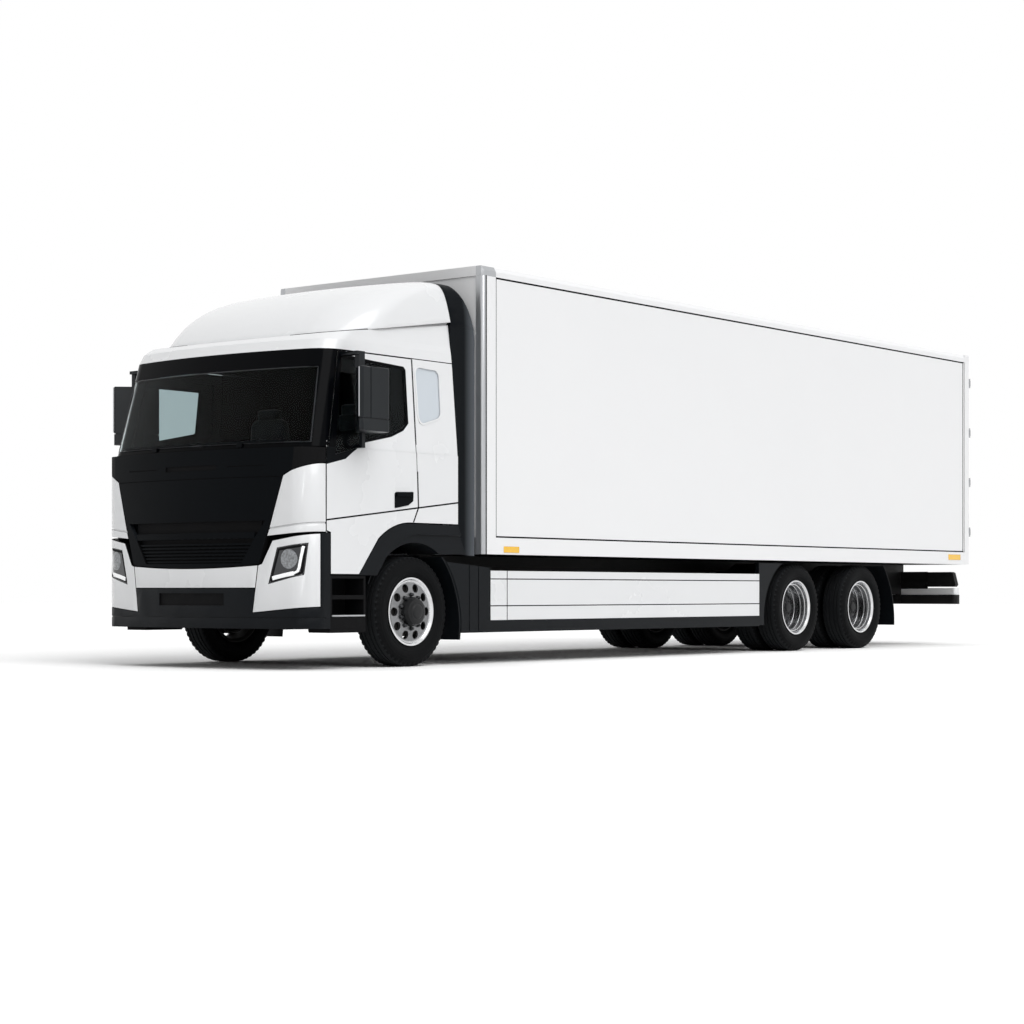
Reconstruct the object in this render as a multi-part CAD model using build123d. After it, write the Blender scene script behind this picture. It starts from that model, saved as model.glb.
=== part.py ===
from build123d import *
import os
from collections import namedtuple
from math import cos, radians, sin

# Three-axle cargo truck: low cab over the engine, closed box body, steered front axle, rear tandem on twins.
# Millimetres. The truck's left side is +X, its front faces -Y, Z is up from the ground. Y is counted from a
# station about 6 m behind the cab's front, and the finished pieces are moved so that Y = 0 is in mid-length.

# Play between seated pieces and seams between panels
SEAT = 0.3
SEAM = 8

# Cab envelope, as plan outlines at heights: a bowed front, rounded front corners and a straight rear
Level = namedtuple("Level", "z front half rear corner")
BOW = 150
CAB_LOW = 345
CAB_HALF = 1250
CAB_FRONT = -6000
CAB_REAR = -3930
WAIST = 1860
EAVES = 2690
EAVES_REAR = -3952
ROOF_REAR = -3966
FAIRING_LOW = 3027
FAIRING_TOP = 3440
LOWER = [
    Level(CAB_LOW, CAB_FRONT, CAB_HALF, CAB_REAR, 230),
    Level(WAIST, CAB_FRONT, CAB_HALF, CAB_REAR, 230),
]
UPPER = [
    Level(WAIST, -5935, 1245, CAB_REAR, 230),
    Level(EAVES, -5725, 1195, EAVES_REAR, 230),
]
ROOF = [
    Level(EAVES, -5725, 1195, EAVES_REAR, 230),
    Level(EAVES + 85, -5675, 1188, EAVES_REAR - 4, 230),
    Level(EAVES + 140, -5590, 1180, EAVES_REAR - 6, 230),
    Level(3040, -5281, 1160, ROOF_REAR, 230),
]
FAIRING = [
    Level(2700, -5560, 1190, -3500, 500),
    Level(3020, -5310, 1190, -3500, 480),
    Level(3220, -5000, 1172, -3500, 450),
    Level(3350, -4620, 1132, -3500, 420),
    Level(FAIRING_TOP, -4130, 1000, -3500, 300),
]
WALL = 60
LINING = 80
TRIM = 25
PANEL = 40
ROOF_SKIN = 45
FAIRING_SKIN = 40
FAIRING_GAP = 26
FLOOR_T = 60
CAB_FLOOR = 1180

# Axles, wheels and steering
FRONT_AXLE = -4500
REAR_AXLES = [1980, 3425]
WHEEL_Z = 480
TYRE_R = 480
TYRE_HALF = 138
BEAD_R = 286
BEAD_HALF = 105
FLANGE_R = 298
FLANGE_T = 13
FRONT_TRACK = 1075
TWIN_TRACK = 935
TWIN_OFFSET = 155
KINGPIN_X = 930
KINGPIN_R = 22
BOSS_R = 42
SPINDLE_R = 45
HUB_BORE = 65
DRUM_R = 215
HAND_HOLES = 10
HAND_HOLE_R = 38
HAND_HOLE_PITCH = 212
ARCH_R = 600

# Chassis
RAIL_OUT = 430
RAIL_FLANGE = 80
RAIL_T = 10
RAIL_LOW = 620
RAIL_TOP = 900
RAIL_FRONT = -5918
RAIL_REAR = 5840
HEAD_R = 190

# Box body
BOX_FRONT = -3610
BOX_REAR = 6050
BOX_HALF = 1275
BOX_LOW = 993
BOX_TOP = 3600
RAIL_H = 152
CAP_H = 90
CAP_CUT = 25
WALL_IN = BOX_HALF - 53
POST_IN = BOX_HALF - 80
FLOOR_LOW = 1053
FLOOR_TOP = 1145
POST = 190
POST_FACE = 48
FRONT_WALL = 70
REAR_POST = 110
REAR_DEPTH = 115
LEAF_T = 50
SKIRT_OUT = BOX_HALF - 30
GUARD_OUT = BOX_HALF - 35
LEAF_GAP = 6

# Cab doors
DOOR_PIN_X = 1235
DOOR_PIN_Y = -5623
DOOR_PIN_R = 5
SASH_T = 6

# Rear doors
REAR_PIN_X = BOX_HALF - 13
REAR_PIN_Y = BOX_REAR + 40
REAR_PIN_R = 8
BARREL_R = 16
BARREL_H = 70
LUG_H = 20
HINGES = 4

CENTRE_Y = (CAB_FRONT + REAR_PIN_Y + BARREL_R) / 2


def block(x0, x1, y0, y1, z0, z1):
    centre = Pos((x0 + x1) / 2, (y0 + y1) / 2, (z0 + z1) / 2)
    return centre * Box(x1 - x0, y1 - y0, z1 - z0)


def along_x(face, x0, x1):
    """Outline drawn as (Y, Z), run from x0 to x1."""
    return extrude(Plane.YZ.offset(x0) * face, x1 - x0, dir=(1, 0, 0))


def along_y(face, y0, y1):
    """Outline drawn as (X, Z), run from y0 to y1."""
    base = Plane(origin=(0, y0, 0), x_dir=(1, 0, 0), z_dir=(0, -1, 0))
    return extrude(base * face, y1 - y0, dir=(0, 1, 0))


def along_z(face, z0, z1):
    """Outline drawn as (X, Y), run from z0 to z1."""
    return extrude(Pos(0, 0, z0) * face, z1 - z0, dir=(0, 0, 1))


def outline(*points):
    return make_face(Polyline(*points, close=True))


def mirrored(points):
    """Half outline on +X, completed with its mirror image."""
    return outline(*points, *[(-x, z) for x, z in reversed(points)])


def hung(points, dip):
    """Half outline on +X from its lower end up, with its mirror image and a lower edge that dips."""
    left = [(-x, z) for x, z in reversed(points)]
    (end_x, end_z) = points[0]
    return make_face([
        Polyline(*points, *left),
        ThreePointArc((-end_x, end_z), (0, end_z - dip), (end_x, end_z)),
    ])


def shrunk(face, margin):
    return offset(face, -margin, kind=Kind.INTERSECTION)


def rod(start, end, radius):
    line = Line(start, end)
    return sweep(Plane(origin=start, z_dir=line % 0) * Circle(radius), path=line)


def post(x, y, z0, z1, radius):
    return Pos(x, y, (z0 + z1) / 2) * Cylinder(radius, z1 - z0)


def bar_x(x0, x1, y, z, radius):
    return Pos((x0 + x1) / 2, y, z) * Rot(0, 90, 0) * Cylinder(radius, x1 - x0)


def bar_y(x, y0, y1, z, radius):
    return Pos(x, (y0 + y1) / 2, z) * Rot(90, 0, 0) * Cylinder(radius, y1 - y0)


def spread(first, last, count):
    """Evenly spaced places from first to last."""
    return [first + (last - first) * number / (count - 1) for number in range(count)]


def other_side(shape):
    return mirror(shape, about=Plane.YZ)


def pair(*shapes):
    return [*shapes, *[other_side(shape) for shape in shapes]]


def plan(level, inset):
    half = level.half - inset
    front = level.front + inset
    rear = level.rear - inset
    corner_y = front + BOW
    bow = ThreePointArc((-half, corner_y), (0, front), (half, corner_y))
    sides = Polyline((half, corner_y), (half, rear), (-half, rear), (-half, corner_y))
    face = make_face([bow, sides])
    tips = face.vertices().sort_by(Axis.Y)[:2]
    return Pos(0, 0, level.z) * fillet(tips, level.corner - inset)


def envelope(levels, inset=0, smooth=False):
    return loft([plan(level, inset) for level in levels], ruled=not smooth)


shells = {}


def shell(inset):
    """The cab's whole form below the roof, drawn in by a depth."""
    if inset not in shells:
        shells[inset] = envelope(LOWER, inset) + envelope(UPPER, inset)
    return shells[inset]


def skin(zone, outer, inner):
    """The part of a zone between two depths below the cab's surface."""
    return (zone & shell(outer)) - shell(inner)


def groove(x0, x1, z0, z1, depth):
    """A cut into the cab's front, from its surface down to a depth."""
    return skin(block(x0, x1, CAB_FRONT - 100, -5648, z0, z1), -1, depth)


nodes = {}


def keep(name, *shapes):
    nodes[name] = [solid for shape in shapes for solid in shape.solids()]


# Cab doors and the sides behind them, as (Y, Z) outlines
ARCH_GAP = 10
DOOR_LOW = 803
ARCH_LINE = [(-5240, DOOR_LOW), (-4995, 1108)]
ARCH_CURVE = [(-4995, 1108), (-4800, 1216), (-4545, 1254)]
DOOR = make_face([
    Polyline(
        (-4545, 1254), (-4478, 1385), (-4502, 1974), (-4508, EAVES - 12), (-5432, EAVES - 12), (-5602, WAIST),
        (-5635, WAIST), (-5635, 1165), (-5584, 1150), (-5584, DOOR_LOW), *ARCH_LINE,
    ),
    ThreePointArc(*ARCH_CURVE),
])
WINDOW = outline(
    (-5530, WAIST - 60), (-5318, WAIST - 10), (-5160, WAIST + 78), (-4810, WAIST + 148), (-4665, WAIST + 206),
    (-4604, WAIST + 265), (-4612, EAVES - 120), (-4630, EAVES - 106), (-5060, EAVES - 88),
    (-5400, EAVES - 62),
)
SASH = outline(
    (-5640, WAIST - 148), (-5404, WAIST - 94), (-5318, WAIST - 35), (-5168, WAIST + 53), (-4810, WAIST + 124),
    (-4653, WAIST + 185), (-4580, WAIST + 252), (-4586, EAVES - 110), (-4612, EAVES - 84),
    (-5060, EAVES - 62), (-5340, EAVES - 40), (-5345, EAVES + 10), (-5640, EAVES + 10),
)
SIDE = outline(
    (-4537, 1254), (-4470, 1385), (-4494, 1974), (-4500, EAVES - SEAM), (-3900, EAVES - SEAM), (-3900, 1254),
)
QUARTER = outline((-4440, 2108), (-4140, 2188), (-4140, 2606), (-4462, 2618))
CREASE = outline((-5700, 1250), (-3900, 1456), (-3900, 1442), (-5700, 1236))
HINGE_PINS = [(1105, 1190), (WAIST - 30, WAIST + 50)]
PILLAR = outline(
    (-6100, WAIST), (-5648, WAIST), (-5648, WAIST + 10), (-5614, WAIST + 10), (-5444, EAVES), (-6100, EAVES),
)

crease = along_x(CREASE, CAB_HALF - 6, CAB_HALF + 50)
pins = [post(DOOR_PIN_X, DOOR_PIN_Y, low, high, DOOR_PIN_R) for low, high in HINGE_PINS]
pin_holes = [post(DOOR_PIN_X, DOOR_PIN_Y, low, high + 1, DOOR_PIN_R + SEAT) for low, high in HINGE_PINS]
door_zone = along_x(DOOR, 1100, 1300)
window_hole = along_x(WINDOW, 1000, 1400)
door = skin(door_zone, 0, WALL) - window_hole - crease
door -= skin(along_x(SASH, 1100, 1300), -1, SASH_T)
for pin in pins:
    door += pin
keep("door_left", door)
keep("door_right", other_side(door))
door_glass = skin(along_x(shrunk(WINDOW, SEAT), 1100, 1300), 8, 16)
keep("door_glass_left", door_glass)
keep("door_glass_right", other_side(door_glass))

MIRROR = outline((1300, -5330), (1505, -5520), (1530, -5490), (1530, -5170), (1440, -5130), (1300, -5150))
MIRROR_LOW = WAIST + 130
MIRROR_SPLIT = WAIST + 230
MIRROR_TOP = EAVES - 165
mirror_plan = fillet(MIRROR.vertices(), 12)
mirror_housing = along_z(mirror_plan, MIRROR_SPLIT + SEAM, MIRROR_TOP)
mirror_housing = fillet(mirror_housing.faces().sort_by(Axis.Z)[-1].edges(), 10)
mirror_housing += along_z(mirror_plan, MIRROR_LOW, MIRROR_SPLIT)
mirror_housing += along_z(shrunk(mirror_plan, 12), MIRROR_SPLIT - 5, MIRROR_SPLIT + SEAM + 5)
mirror_housing -= block(1524, 1540, -5404, -5394, MIRROR_SPLIT + SEAM, MIRROR_TOP)
top_arm = block(1150, 1400, -5425, -5330, EAVES - 55, EAVES - 27)
top_arm += block(1350, 1400, -5400, -5330, MIRROR_TOP - 5, EAVES - 30)
low_arm = block(1150, 1340, -5300, -5260, WAIST + 2, WAIST + 26)
low_arm += block(1310, 1340, -5300, -5260, WAIST + 2, MIRROR_LOW + 5)
trim = (mirror_housing + top_arm + low_arm) - shell(-SEAT)
HANDLE = outline(
    (-4785, 1372), (-4610, 1402), (-4545, 1440), (-4540, 1520), (-4770, 1512), (-4785, 1496),
)
handle = along_x(fillet(HANDLE.vertices(), 10), 1240, 1256) + block(1250, 1272, -4770, -4565, 1476, 1504)
handle -= shell(-SEAT)
sash = skin(along_x(shrunk(SASH, SEAT), 1100, 1300) & door_zone, 0, SASH_T - SEAT) - window_hole
keep("door_trim_left", trim, handle, sash)
keep("door_trim_right", other_side(trim), other_side(handle), other_side(sash))

# Cab body
SIDE_IN = 1122
quarter = along_x(fillet(QUARTER.vertices(), 30), SIDE_IN, 1300)
side = skin(along_x(SIDE, SIDE_IN, 1300), 0, WALL) - crease
side -= skin(quarter, -1, 8)
keep("cab_sides", *pair(side))
rear_zone = block(-SIDE_IN + SEAT, SIDE_IN - SEAT, -4100, -3900, 1000, EAVES)
keep("cab_rear_wall", skin(rear_zone, 0, WALL))
floor_zone = block(-1184, 1184, CAB_FRONT, CAB_REAR - WALL - SEAT, CAB_FLOOR, CAB_FLOOR + FLOOR_T)
keep("cab_floor", floor_zone & shell(LINING + SEAT))

# Windscreen, as an (X, Z) half outline, and the black frame round it
SCREEN = [(1185, WAIST + 28), (1132, EAVES - 150)]
GRILLE_TOP = 1262
GRILLE_BACK = 50
screen = mirrored(SCREEN)
screen_hole = along_y(screen, -6100, -5500)
fire_wall = skin(block(-1300, 1300, -6100, -5662, CAB_FLOOR + 25, WAIST), PANEL + SEAT, LINING)
fire_wall -= skin(block(-770, 770, -6100, -5600, CAB_FLOOR, GRILLE_TOP + SEAT), PANEL, GRILLE_BACK + SEAT)
pillars = skin(along_x(PILLAR, -1300, 1300), 0, WALL)
cab_front = fire_wall + pillars - screen_hole
for hole in pin_holes:
    cab_front -= hole
    cab_front -= other_side(hole)
keep("cab_front", cab_front)
keep("windscreen", skin(along_y(shrunk(screen, SEAT), -6100, -5500), 3, 14))

# Roof and the fairing on it, parted by a slanting plane
SLOPE = [(-5800, 2791), (-3900, 3038)]
SLOPE_IN = [(-5800, 2791 - ROOF_SKIN), (-3900, 3038 - ROOF_SKIN)]
below_slope = outline((-5800, EAVES), *SLOPE, (-3900, EAVES))
under_slope = outline((-5800, EAVES - 1), *SLOPE_IN, (-3900, EAVES - 1))
roof = along_x(below_slope, -1300, 1300) & envelope(ROOF)
roof -= along_x(under_slope, -1300, 1300) & envelope(ROOF, ROOF_SKIN)
keep("cab_roof", roof)
FAIRING_REAR = [(-3955, FAIRING_LOW + FAIRING_GAP), (-4036, FAIRING_TOP + 10)]
above_slope = outline(
    (-5800, 2791 + SEAT), (-4900, 2908 + SEAT), *FAIRING_REAR, (-5800, FAIRING_TOP + 10),
)
fairing = along_x(above_slope, -1300, 1300) & envelope(FAIRING, 0, True)
fairing -= Pos(0, 0, -FAIRING_SKIN) * envelope(FAIRING, FAIRING_SKIN, True)
keep("roof_fairing", fairing)

# Dark panels that close the gap between the cab and the box, and bend over with the roof fairing
GAP_REAR = BOX_FRONT - 12
GAP = make_face([
    Polyline(
        (-3860, 3400), (-4026, 3412), (-3954, FAIRING_LOW + FAIRING_GAP), (ROOF_REAR + 2, FAIRING_LOW),
        (EAVES_REAR + 2, EAVES), (CAB_REAR + 1, WAIST), (CAB_REAR + 1, 1252), (-3795, 985), (GAP_REAR, 975),
        (GAP_REAR, 2800),
    ),
    ThreePointArc((GAP_REAR, 2800), (GAP_REAR - 70, 3190), (-3860, 3400)),
])
GAP_BEND = 3020
gap_panel = along_x(GAP, 1142, 1186) - block(1000, 1300, -4200, -3500, GAP_BEND, BOX_TOP)
gap_bend = along_x(GAP, 800, 1300) & block(800, 1300, -4200, -3500, GAP_BEND - 1, BOX_TOP)
gap_bend = (gap_bend & envelope(FAIRING, 4, True)) - Pos(0, 0, -10) * envelope(FAIRING, 48, True)
keep("gap_fairings", *pair(gap_panel + gap_bend))

# Front panels, as (X, Z) half outlines from the lower end up
SHOULDER = WAIST - 117
KNEE = WAIST - 240
FRONT_PANEL = [
    (765, 884), (858, 1165), (1000, KNEE), (1078, SHOULDER - 81), (1300, SHOULDER), (1300, WAIST - 10),
]
GRILLE = [(835, 1246), (720, 1100), (585, 892)]
CORNER = [
    (852, 1118), (870, 1165), (1010, KNEE - 5), (1085, SHOULDER - 88), (1300, SHOULDER - SEAM), (1300, 1156),
]
BUMPER_CENTRE = [(754, 872), (728, 688)]
BUMPER_CORNER = [(706, 482), (1300, 535), (1300, 1142), (905, 1076), (800, 884), (762, 872)]
CARRIER = [(1300, 1142), (1300, CAB_LOW), (0, CAB_LOW), (0, 836), (760, 862), (790, 880), (900, 1070)]
LIP = [(0, CAB_LOW), (1300, CAB_LOW), (1300, 527), (698, 474), (724, 680), (0, 680)]
LAMP = outline((862, 716), (948, 1020), (1204, 1058), (1180, 792))
FRONT_ZONE = (CAB_FRONT - 100, -5648)

panel_zone = along_y(hung(FRONT_PANEL, 28), *FRONT_ZONE) - along_y(mirrored(GRILLE), *FRONT_ZONE)
front_panel = skin(panel_zone, 0, PANEL)
front_panel -= groove(-310, 310, WAIST - 180, WAIST - 138, 12)
front_panel -= groove(-985, 985, WAIST - 254, WAIST - 247, 6)
for x0, x1 in [(-830, -430), (430, 830)]:
    front_panel -= groove(x0, x1, WAIST - 160, WAIST - 152, 6)
keep("front_panel", front_panel)

grille = skin(block(-760, 760, -6100, -5600, 872, GRILLE_TOP), PANEL + SEAT, GRILLE_BACK)
Slat = namedtuple("Slat", "low high depth")
SLATS = [Slat(1100, 1152, 4)] + [Slat(900 + 29 * count, 915 + 29 * count, 12) for count in range(6)]
for slat in SLATS:
    reach = 585 + (720 - 585) * (slat.low - 892) / (1100 - 892) - 1
    grille += skin(block(-reach, reach, -6100, -5600, slat.low, slat.high), slat.depth, PANEL + 5)
keep("grille", grille)

corner_panel = skin(along_y(outline(*CORNER), *FRONT_ZONE), 0, PANEL)
corner_line = outline((800, 1176), (1300, 1238), (1300, 1224), (800, 1162))
corner_panel -= skin(along_y(corner_line, *FRONT_ZONE), -1, 6)
keep("corner_panels", *pair(corner_panel))

lamp_hole = along_y(LAMP, -6100, -5600)
bumper_corner = skin(along_y(outline(*BUMPER_CORNER), -6100, -5708), 0, TRIM) - lamp_hole
bumper_centre = skin(along_y(hung([*reversed(BUMPER_CENTRE)], 0.5), -6100, -5600), 0, TRIM)
top_dip = make_face([
    Polyline((-750, 872), (-750, 900), (750, 900), (750, 872)),
    ThreePointArc((750, 872), (0, 846), (-750, 872)),
])
bumper_centre -= along_y(top_dip, -6100, -5600)
keep("bumper_panels", bumper_centre, *pair(bumper_corner))

carrier = skin(along_y(outline(*CARRIER), -6100, -5590), TRIM + SEAT, WALL)
black_lip = skin(along_y(outline(*LIP), -6100, -5590), 0, WALL)
black_strip = skin(block(1000, 1300, -5700, -5590, 520, 1142), 0, WALL)
half_skirt = carrier + black_lip + black_strip - lamp_hole - pin_holes[0]
bumper_skirt = half_skirt + other_side(half_skirt)
bumper_skirt -= groove(-395, 395, 536, 640, 14)
bumper_skirt -= groove(-1300, 1300, 432, 440, 6)
keep("bumper_skirt", bumper_skirt)

headlamp = skin(along_y(shrunk(LAMP, SEAT), -6100, -5600), 5, WALL)
keep("headlamps", *pair(headlamp))

WIPER_LOW = WAIST + 38
wipers = []
for x0, x1 in [(-980, -80), (60, 960)]:
    blade = skin(block(x0, x1, -6100, -5600, WIPER_LOW, WIPER_LOW + 18), -16, -4)
    foot_x = (x0 + x1) / 2
    blade += skin(block(foot_x - 30, foot_x + 30, -6100, -5600, WAIST + 6, WIPER_LOW + 18), -16, -SEAT)
    wipers.append(blade)
keep("wipers", *wipers)

# Wheel arches, whose inner band is set back, and entry steps
arch_end = -3804
arch_line = [(y, z - ARCH_GAP) for y, z in ARCH_LINE]
arch_curve = [(y, z - ARCH_GAP) for y, z in ARCH_CURVE]
open_front = FRONT_AXLE - (ARCH_R ** 2 - (arch_line[0][1] - WHEEL_Z) ** 2) ** 0.5
open_rear = FRONT_AXLE + (ARCH_R ** 2 - (985 - WHEEL_Z) ** 2) ** 0.5
arch_face = make_face([
    Polyline((open_front, arch_line[0][1]), *arch_line),
    ThreePointArc(*arch_curve),
    Polyline(arch_curve[2], (-3935, 1242), (arch_end, 985), (open_rear, 985)),
    ThreePointArc((open_rear, 985), (FRONT_AXLE, WHEEL_Z + ARCH_R), (open_front, arch_line[0][1])),
])
arch = along_x(arch_face, CAB_HALF - LINING, CAB_HALF + 4)
inner_band = make_face([
    Polyline((-4919, 919), (-5060, 700), (-3700, 700), (-3700, 1150), (-4400, 1150)),
    ThreePointArc((-4400, 1150), (-4690, 1104), (-4919, 919)),
])
arch -= along_x(inner_band, CAB_HALF - 14, CAB_HALF + 50)
liner = Pos(1030, FRONT_AXLE, WHEEL_Z) * Rot(0, 90, 0) * (Cylinder(ARCH_R + 12, 320) - Cylinder(ARCH_R, 330))
liner &= block(800, 1300, FRONT_AXLE - 560, FRONT_AXLE + 330, 720, 1100)
step = block(1000, 1245, -5590 + SEAT, -5150, CAB_LOW - 35, DOOR_LOW - 15)
for low, high in [(455, 590), (625, 765)]:
    step -= block(1030, 1300, -5565, -5175, low, high)
keep("wheel_arches", *pair(arch + liner, step))

# Cab inside
WHEEL_X = -520
DASH_LOW = CAB_FLOOR + 300
dash = block(-1150, 1150, CAB_FRONT, -5430, DASH_LOW, WAIST - 10) & shell(LINING + SEAT)
column_low = (WHEEL_X, -5480, (DASH_LOW + WAIST) / 2)
column_top = (WHEEL_X, -5290, WAIST - 60)
rim_plane = Plane(origin=column_top, x_dir=(1, 0, 0), z_dir=(0, 190, 160))
dash += rod(column_low, column_top, 30)
dash += rim_plane * Torus(210, 16)
dash += rim_plane * Box(410, 40, 20)
keep("dashboard", dash)
SEAT_LOW = CAB_FLOOR + FLOOR_T + SEAT
seat = block(280, 760, -4970, -4440, SEAT_LOW, 1660) + block(280, 760, -4580, -4430, 1600, 2330)
keep("seats", *pair(seat))

# Chassis
rail = block(RAIL_OUT - RAIL_FLANGE, RAIL_OUT, RAIL_FRONT, RAIL_REAR, RAIL_LOW, RAIL_TOP)
rail -= block(0, RAIL_OUT - RAIL_T, RAIL_FRONT - 1, RAIL_REAR + 1, RAIL_LOW + RAIL_T, RAIL_TOP - RAIL_T)
frame = rail + other_side(rail)
inner = RAIL_OUT - RAIL_T / 2
for y in [-5870, -3300, -1500, 500, 2690, 4400]:
    frame += block(-inner, inner, y - 40, y + 40, RAIL_LOW + 70, RAIL_TOP - 40)
end_beam = block(-inner, inner, RAIL_REAR - 30, RAIL_REAR, RAIL_LOW + 40, RAIL_TOP)
for x in [-80, 80]:
    for z in [740, 840]:
        end_beam -= bar_y(x, RAIL_REAR - 40, RAIL_REAR + 10, z, 10.5)
frame += end_beam
for y in [-5600, -4080]:
    for x in [40 - RAIL_OUT, RAIL_OUT - 40]:
        frame += block(x - 40, x + 40, y - 50, y + 50, RAIL_TOP, CAB_FLOOR - SEAT)
keep("chassis_frame", frame)

runner = block(RAIL_OUT - RAIL_FLANGE, RAIL_OUT, BOX_FRONT + 110, BOX_REAR - 124, RAIL_TOP + SEAT, BOX_LOW)
subframe = runner + other_side(runner)
for y in spread(BOX_FRONT + 160, BOX_REAR - 200, 16):
    subframe += block(SEAT - WALL_IN, WALL_IN - SEAT, y - 30, y + 30, BOX_LOW, FLOOR_LOW - SEAT)
keep("box_subframe", subframe)

BEAM = [(560, 330), (800, 420), (905, 442), (905, 518), (840, 518), (580, 430)]
beam = along_y(mirrored(BEAM), FRONT_AXLE - 50, FRONT_AXLE + 50)
for x in [-KINGPIN_X, KINGPIN_X]:
    beam += post(x, FRONT_AXLE, WHEEL_Z - 59, WHEEL_Z + 59, BOSS_R)
    beam -= post(x, FRONT_AXLE, 300, 600, KINGPIN_R)
rear_axles = []
for y, head_r in zip(REAR_AXLES, [HEAD_R, 80]):
    half = [(1075, 0), (1075, HUB_BORE), (728, HUB_BORE), (728, 75), (250, 75), (110, head_r)]
    rear_axles.append(Pos(0, y, WHEEL_Z) * revolve(mirrored(half), Axis.X))
keep("axles", beam, *rear_axles)

engine = block(-320, 320, -5500, -4350, 470, 1130) + block(-220, 220, -4360, -3600, 480, 840)
for y in [-5300, -4600]:
    engine += block(5 + SEAT - inner, inner - 5 - SEAT, y - 40, y + 40, 700, 780)
engine += rod((0, -3610, 620), (0, REAR_AXLES[0] - HEAD_R - 1, WHEEL_Z + 12), 50)
keep("driveline", engine)

LEAF_ENDS = [FRONT_AXLE - 760, FRONT_AXLE + 760]
leaf_face = make_face([
    ThreePointArc((LEAF_ENDS[0], RAIL_LOW - SEAT), (FRONT_AXLE, 490), (LEAF_ENDS[1], RAIL_LOW - SEAT)),
    ThreePointArc((LEAF_ENDS[0], 575), (FRONT_AXLE, 430 + SEAT), (LEAF_ENDS[1], 575)),
    *[Line((y, RAIL_LOW - SEAT), (y, 575)) for y in LEAF_ENDS],
])
springs = [along_x(leaf_face, 355, 425)]
for y in REAR_AXLES:
    arm = block(355, 425, y - 520, y + 330, 345, 404)
    arm += block(355, 425, y - 60, y + 60, 404, 440) - bar_x(300, 500, y, WHEEL_Z, 75 + SEAT)
    arm += block(355, 425, y - 520, y - 440, 404, RAIL_LOW - SEAT)
    arm += post(390, y + 260, 400, RAIL_LOW - SEAT, 95)
    springs.append(arm)
keep("springs", *pair(*springs))

tank = fillet(block(480, 1130, -3200, -1900, 330, 800).edges().filter_by(Axis.Y), 90)
silencer = fillet(block(-1130, -480, -3200, -2300, 330, 780).edges().filter_by(Axis.Y), 60)
for y in [-3000, -2400]:
    tank += block(RAIL_OUT + SEAT, 500, y - 30, y + 30, 640, 720)
    silencer += block(-500, -RAIL_OUT - SEAT, y - 30, y + 30, 640, 720)
air_tank = bar_y(590, 4300, 4950, 760, 110) + block(RAIL_OUT + SEAT, 520, 4500, 4750, 740, 780)
keep("tanks", tank, silencer, air_tank)

# Mudguards and flaps: bent strips through three (Y, Z) points


def strip(points, thickness):
    shifted = [(y + thickness, z) for y, z in points]
    ends = [Line(points[0], shifted[0]), Line(points[2], shifted[2])]
    return make_face([ThreePointArc(*points), ThreePointArc(*shifted), *ends])


GUARD = [(1246, 295), (1320, 690), (1619, 962)]
REAR_GUARD = [(3905, 955), (4105, 640), (4165, 261)]
FLAP = [(-4150, 960), (-3950, 640), (-3912, 225)]
GUARD_T = 12
FLAP_T = 25
guard_front = along_x(strip(GUARD, GUARD_T), 640, GUARD_OUT)
guard_front += block(RAIL_OUT + SEAT, 700, 1440, 1480, 840, 880)
guard_rear = along_x(strip(REAR_GUARD, GUARD_T), 640, GUARD_OUT)
guard_rear += block(RAIL_OUT + SEAT, 700, 3950, 4010, 830, 880)
flap = along_x(strip(FLAP, FLAP_T), 960, GUARD_OUT)
keep("mudguards", *pair(guard_front, guard_rear, flap))

# Side skirts, what carries them and the dark covers at their ends
SKIRT_FRONT = -3460
SKIRT_SEAM = -3220
SKIRT_REAR = 1150
SKIRT_LOW = 395
SKIRT_TOP = 845
FOOT_LOW = 285
skirts = []
for y0, y1 in [(SKIRT_FRONT, SKIRT_SEAM), (SKIRT_SEAM + SEAM, SKIRT_REAR)]:
    sheet = block(SKIRT_OUT - 30, SKIRT_OUT, y0, y1, SKIRT_LOW, SKIRT_TOP)
    for z in [525, 770]:
        sheet -= block(SKIRT_OUT - 5, SKIRT_OUT + 5, y0 - 1, y1 + 1, z - 4, z + 4)
    skirts.append(sheet)
keep("side_skirts", *pair(*skirts))
cover_rear = SKIRT_FRONT - SEAM
skirt_frame = block(SKIRT_OUT - 55, SKIRT_OUT, cover_rear, SKIRT_REAR, FOOT_LOW, SKIRT_LOW - SEAT)
behind_flap = [(y + FLAP_T + SEAT, z) for y, z in FLAP]
wheel_room = make_face([
    ThreePointArc(*behind_flap),
    Polyline(behind_flap[2], (-4400, 225), (-4400, 960), behind_flap[0]),
])
COVER = outline((-4300, 936), (cover_rear, 872), (cover_rear, FOOT_LOW), (-4300, FOOT_LOW))
cover = along_x(COVER, SKIRT_OUT - 45, SKIRT_OUT) - along_x(wheel_room, 1100, 1300)
for y in [-3765, -3635]:
    cover -= block(SKIRT_OUT - 6, SKIRT_OUT + 5, y - 5, y + 5, FOOT_LOW + 15, 1000)
skirt_frame += cover
before_guard = [(y - SEAT, z) for y, z in GUARD]
rear_cover = make_face([
    ThreePointArc(*before_guard),
    Polyline(before_guard[2], (SKIRT_REAR, 962), (SKIRT_REAR, 295), before_guard[0]),
])
skirt_frame += along_x(rear_cover, SKIRT_OUT - 50, SKIRT_OUT - 5)
for y in [-3420, -1750, 0, 1050]:
    skirt_frame += block(SKIRT_OUT - 60, SKIRT_OUT - 30 - SEAT, y - 30, y + 30, FOOT_LOW, SKIRT_TOP - 5)
    skirt_frame += block(RAIL_OUT + SEAT, SKIRT_OUT - 45, y - 25, y + 25, 660, 710)
keep("skirt_frames", *pair(skirt_frame))

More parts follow.
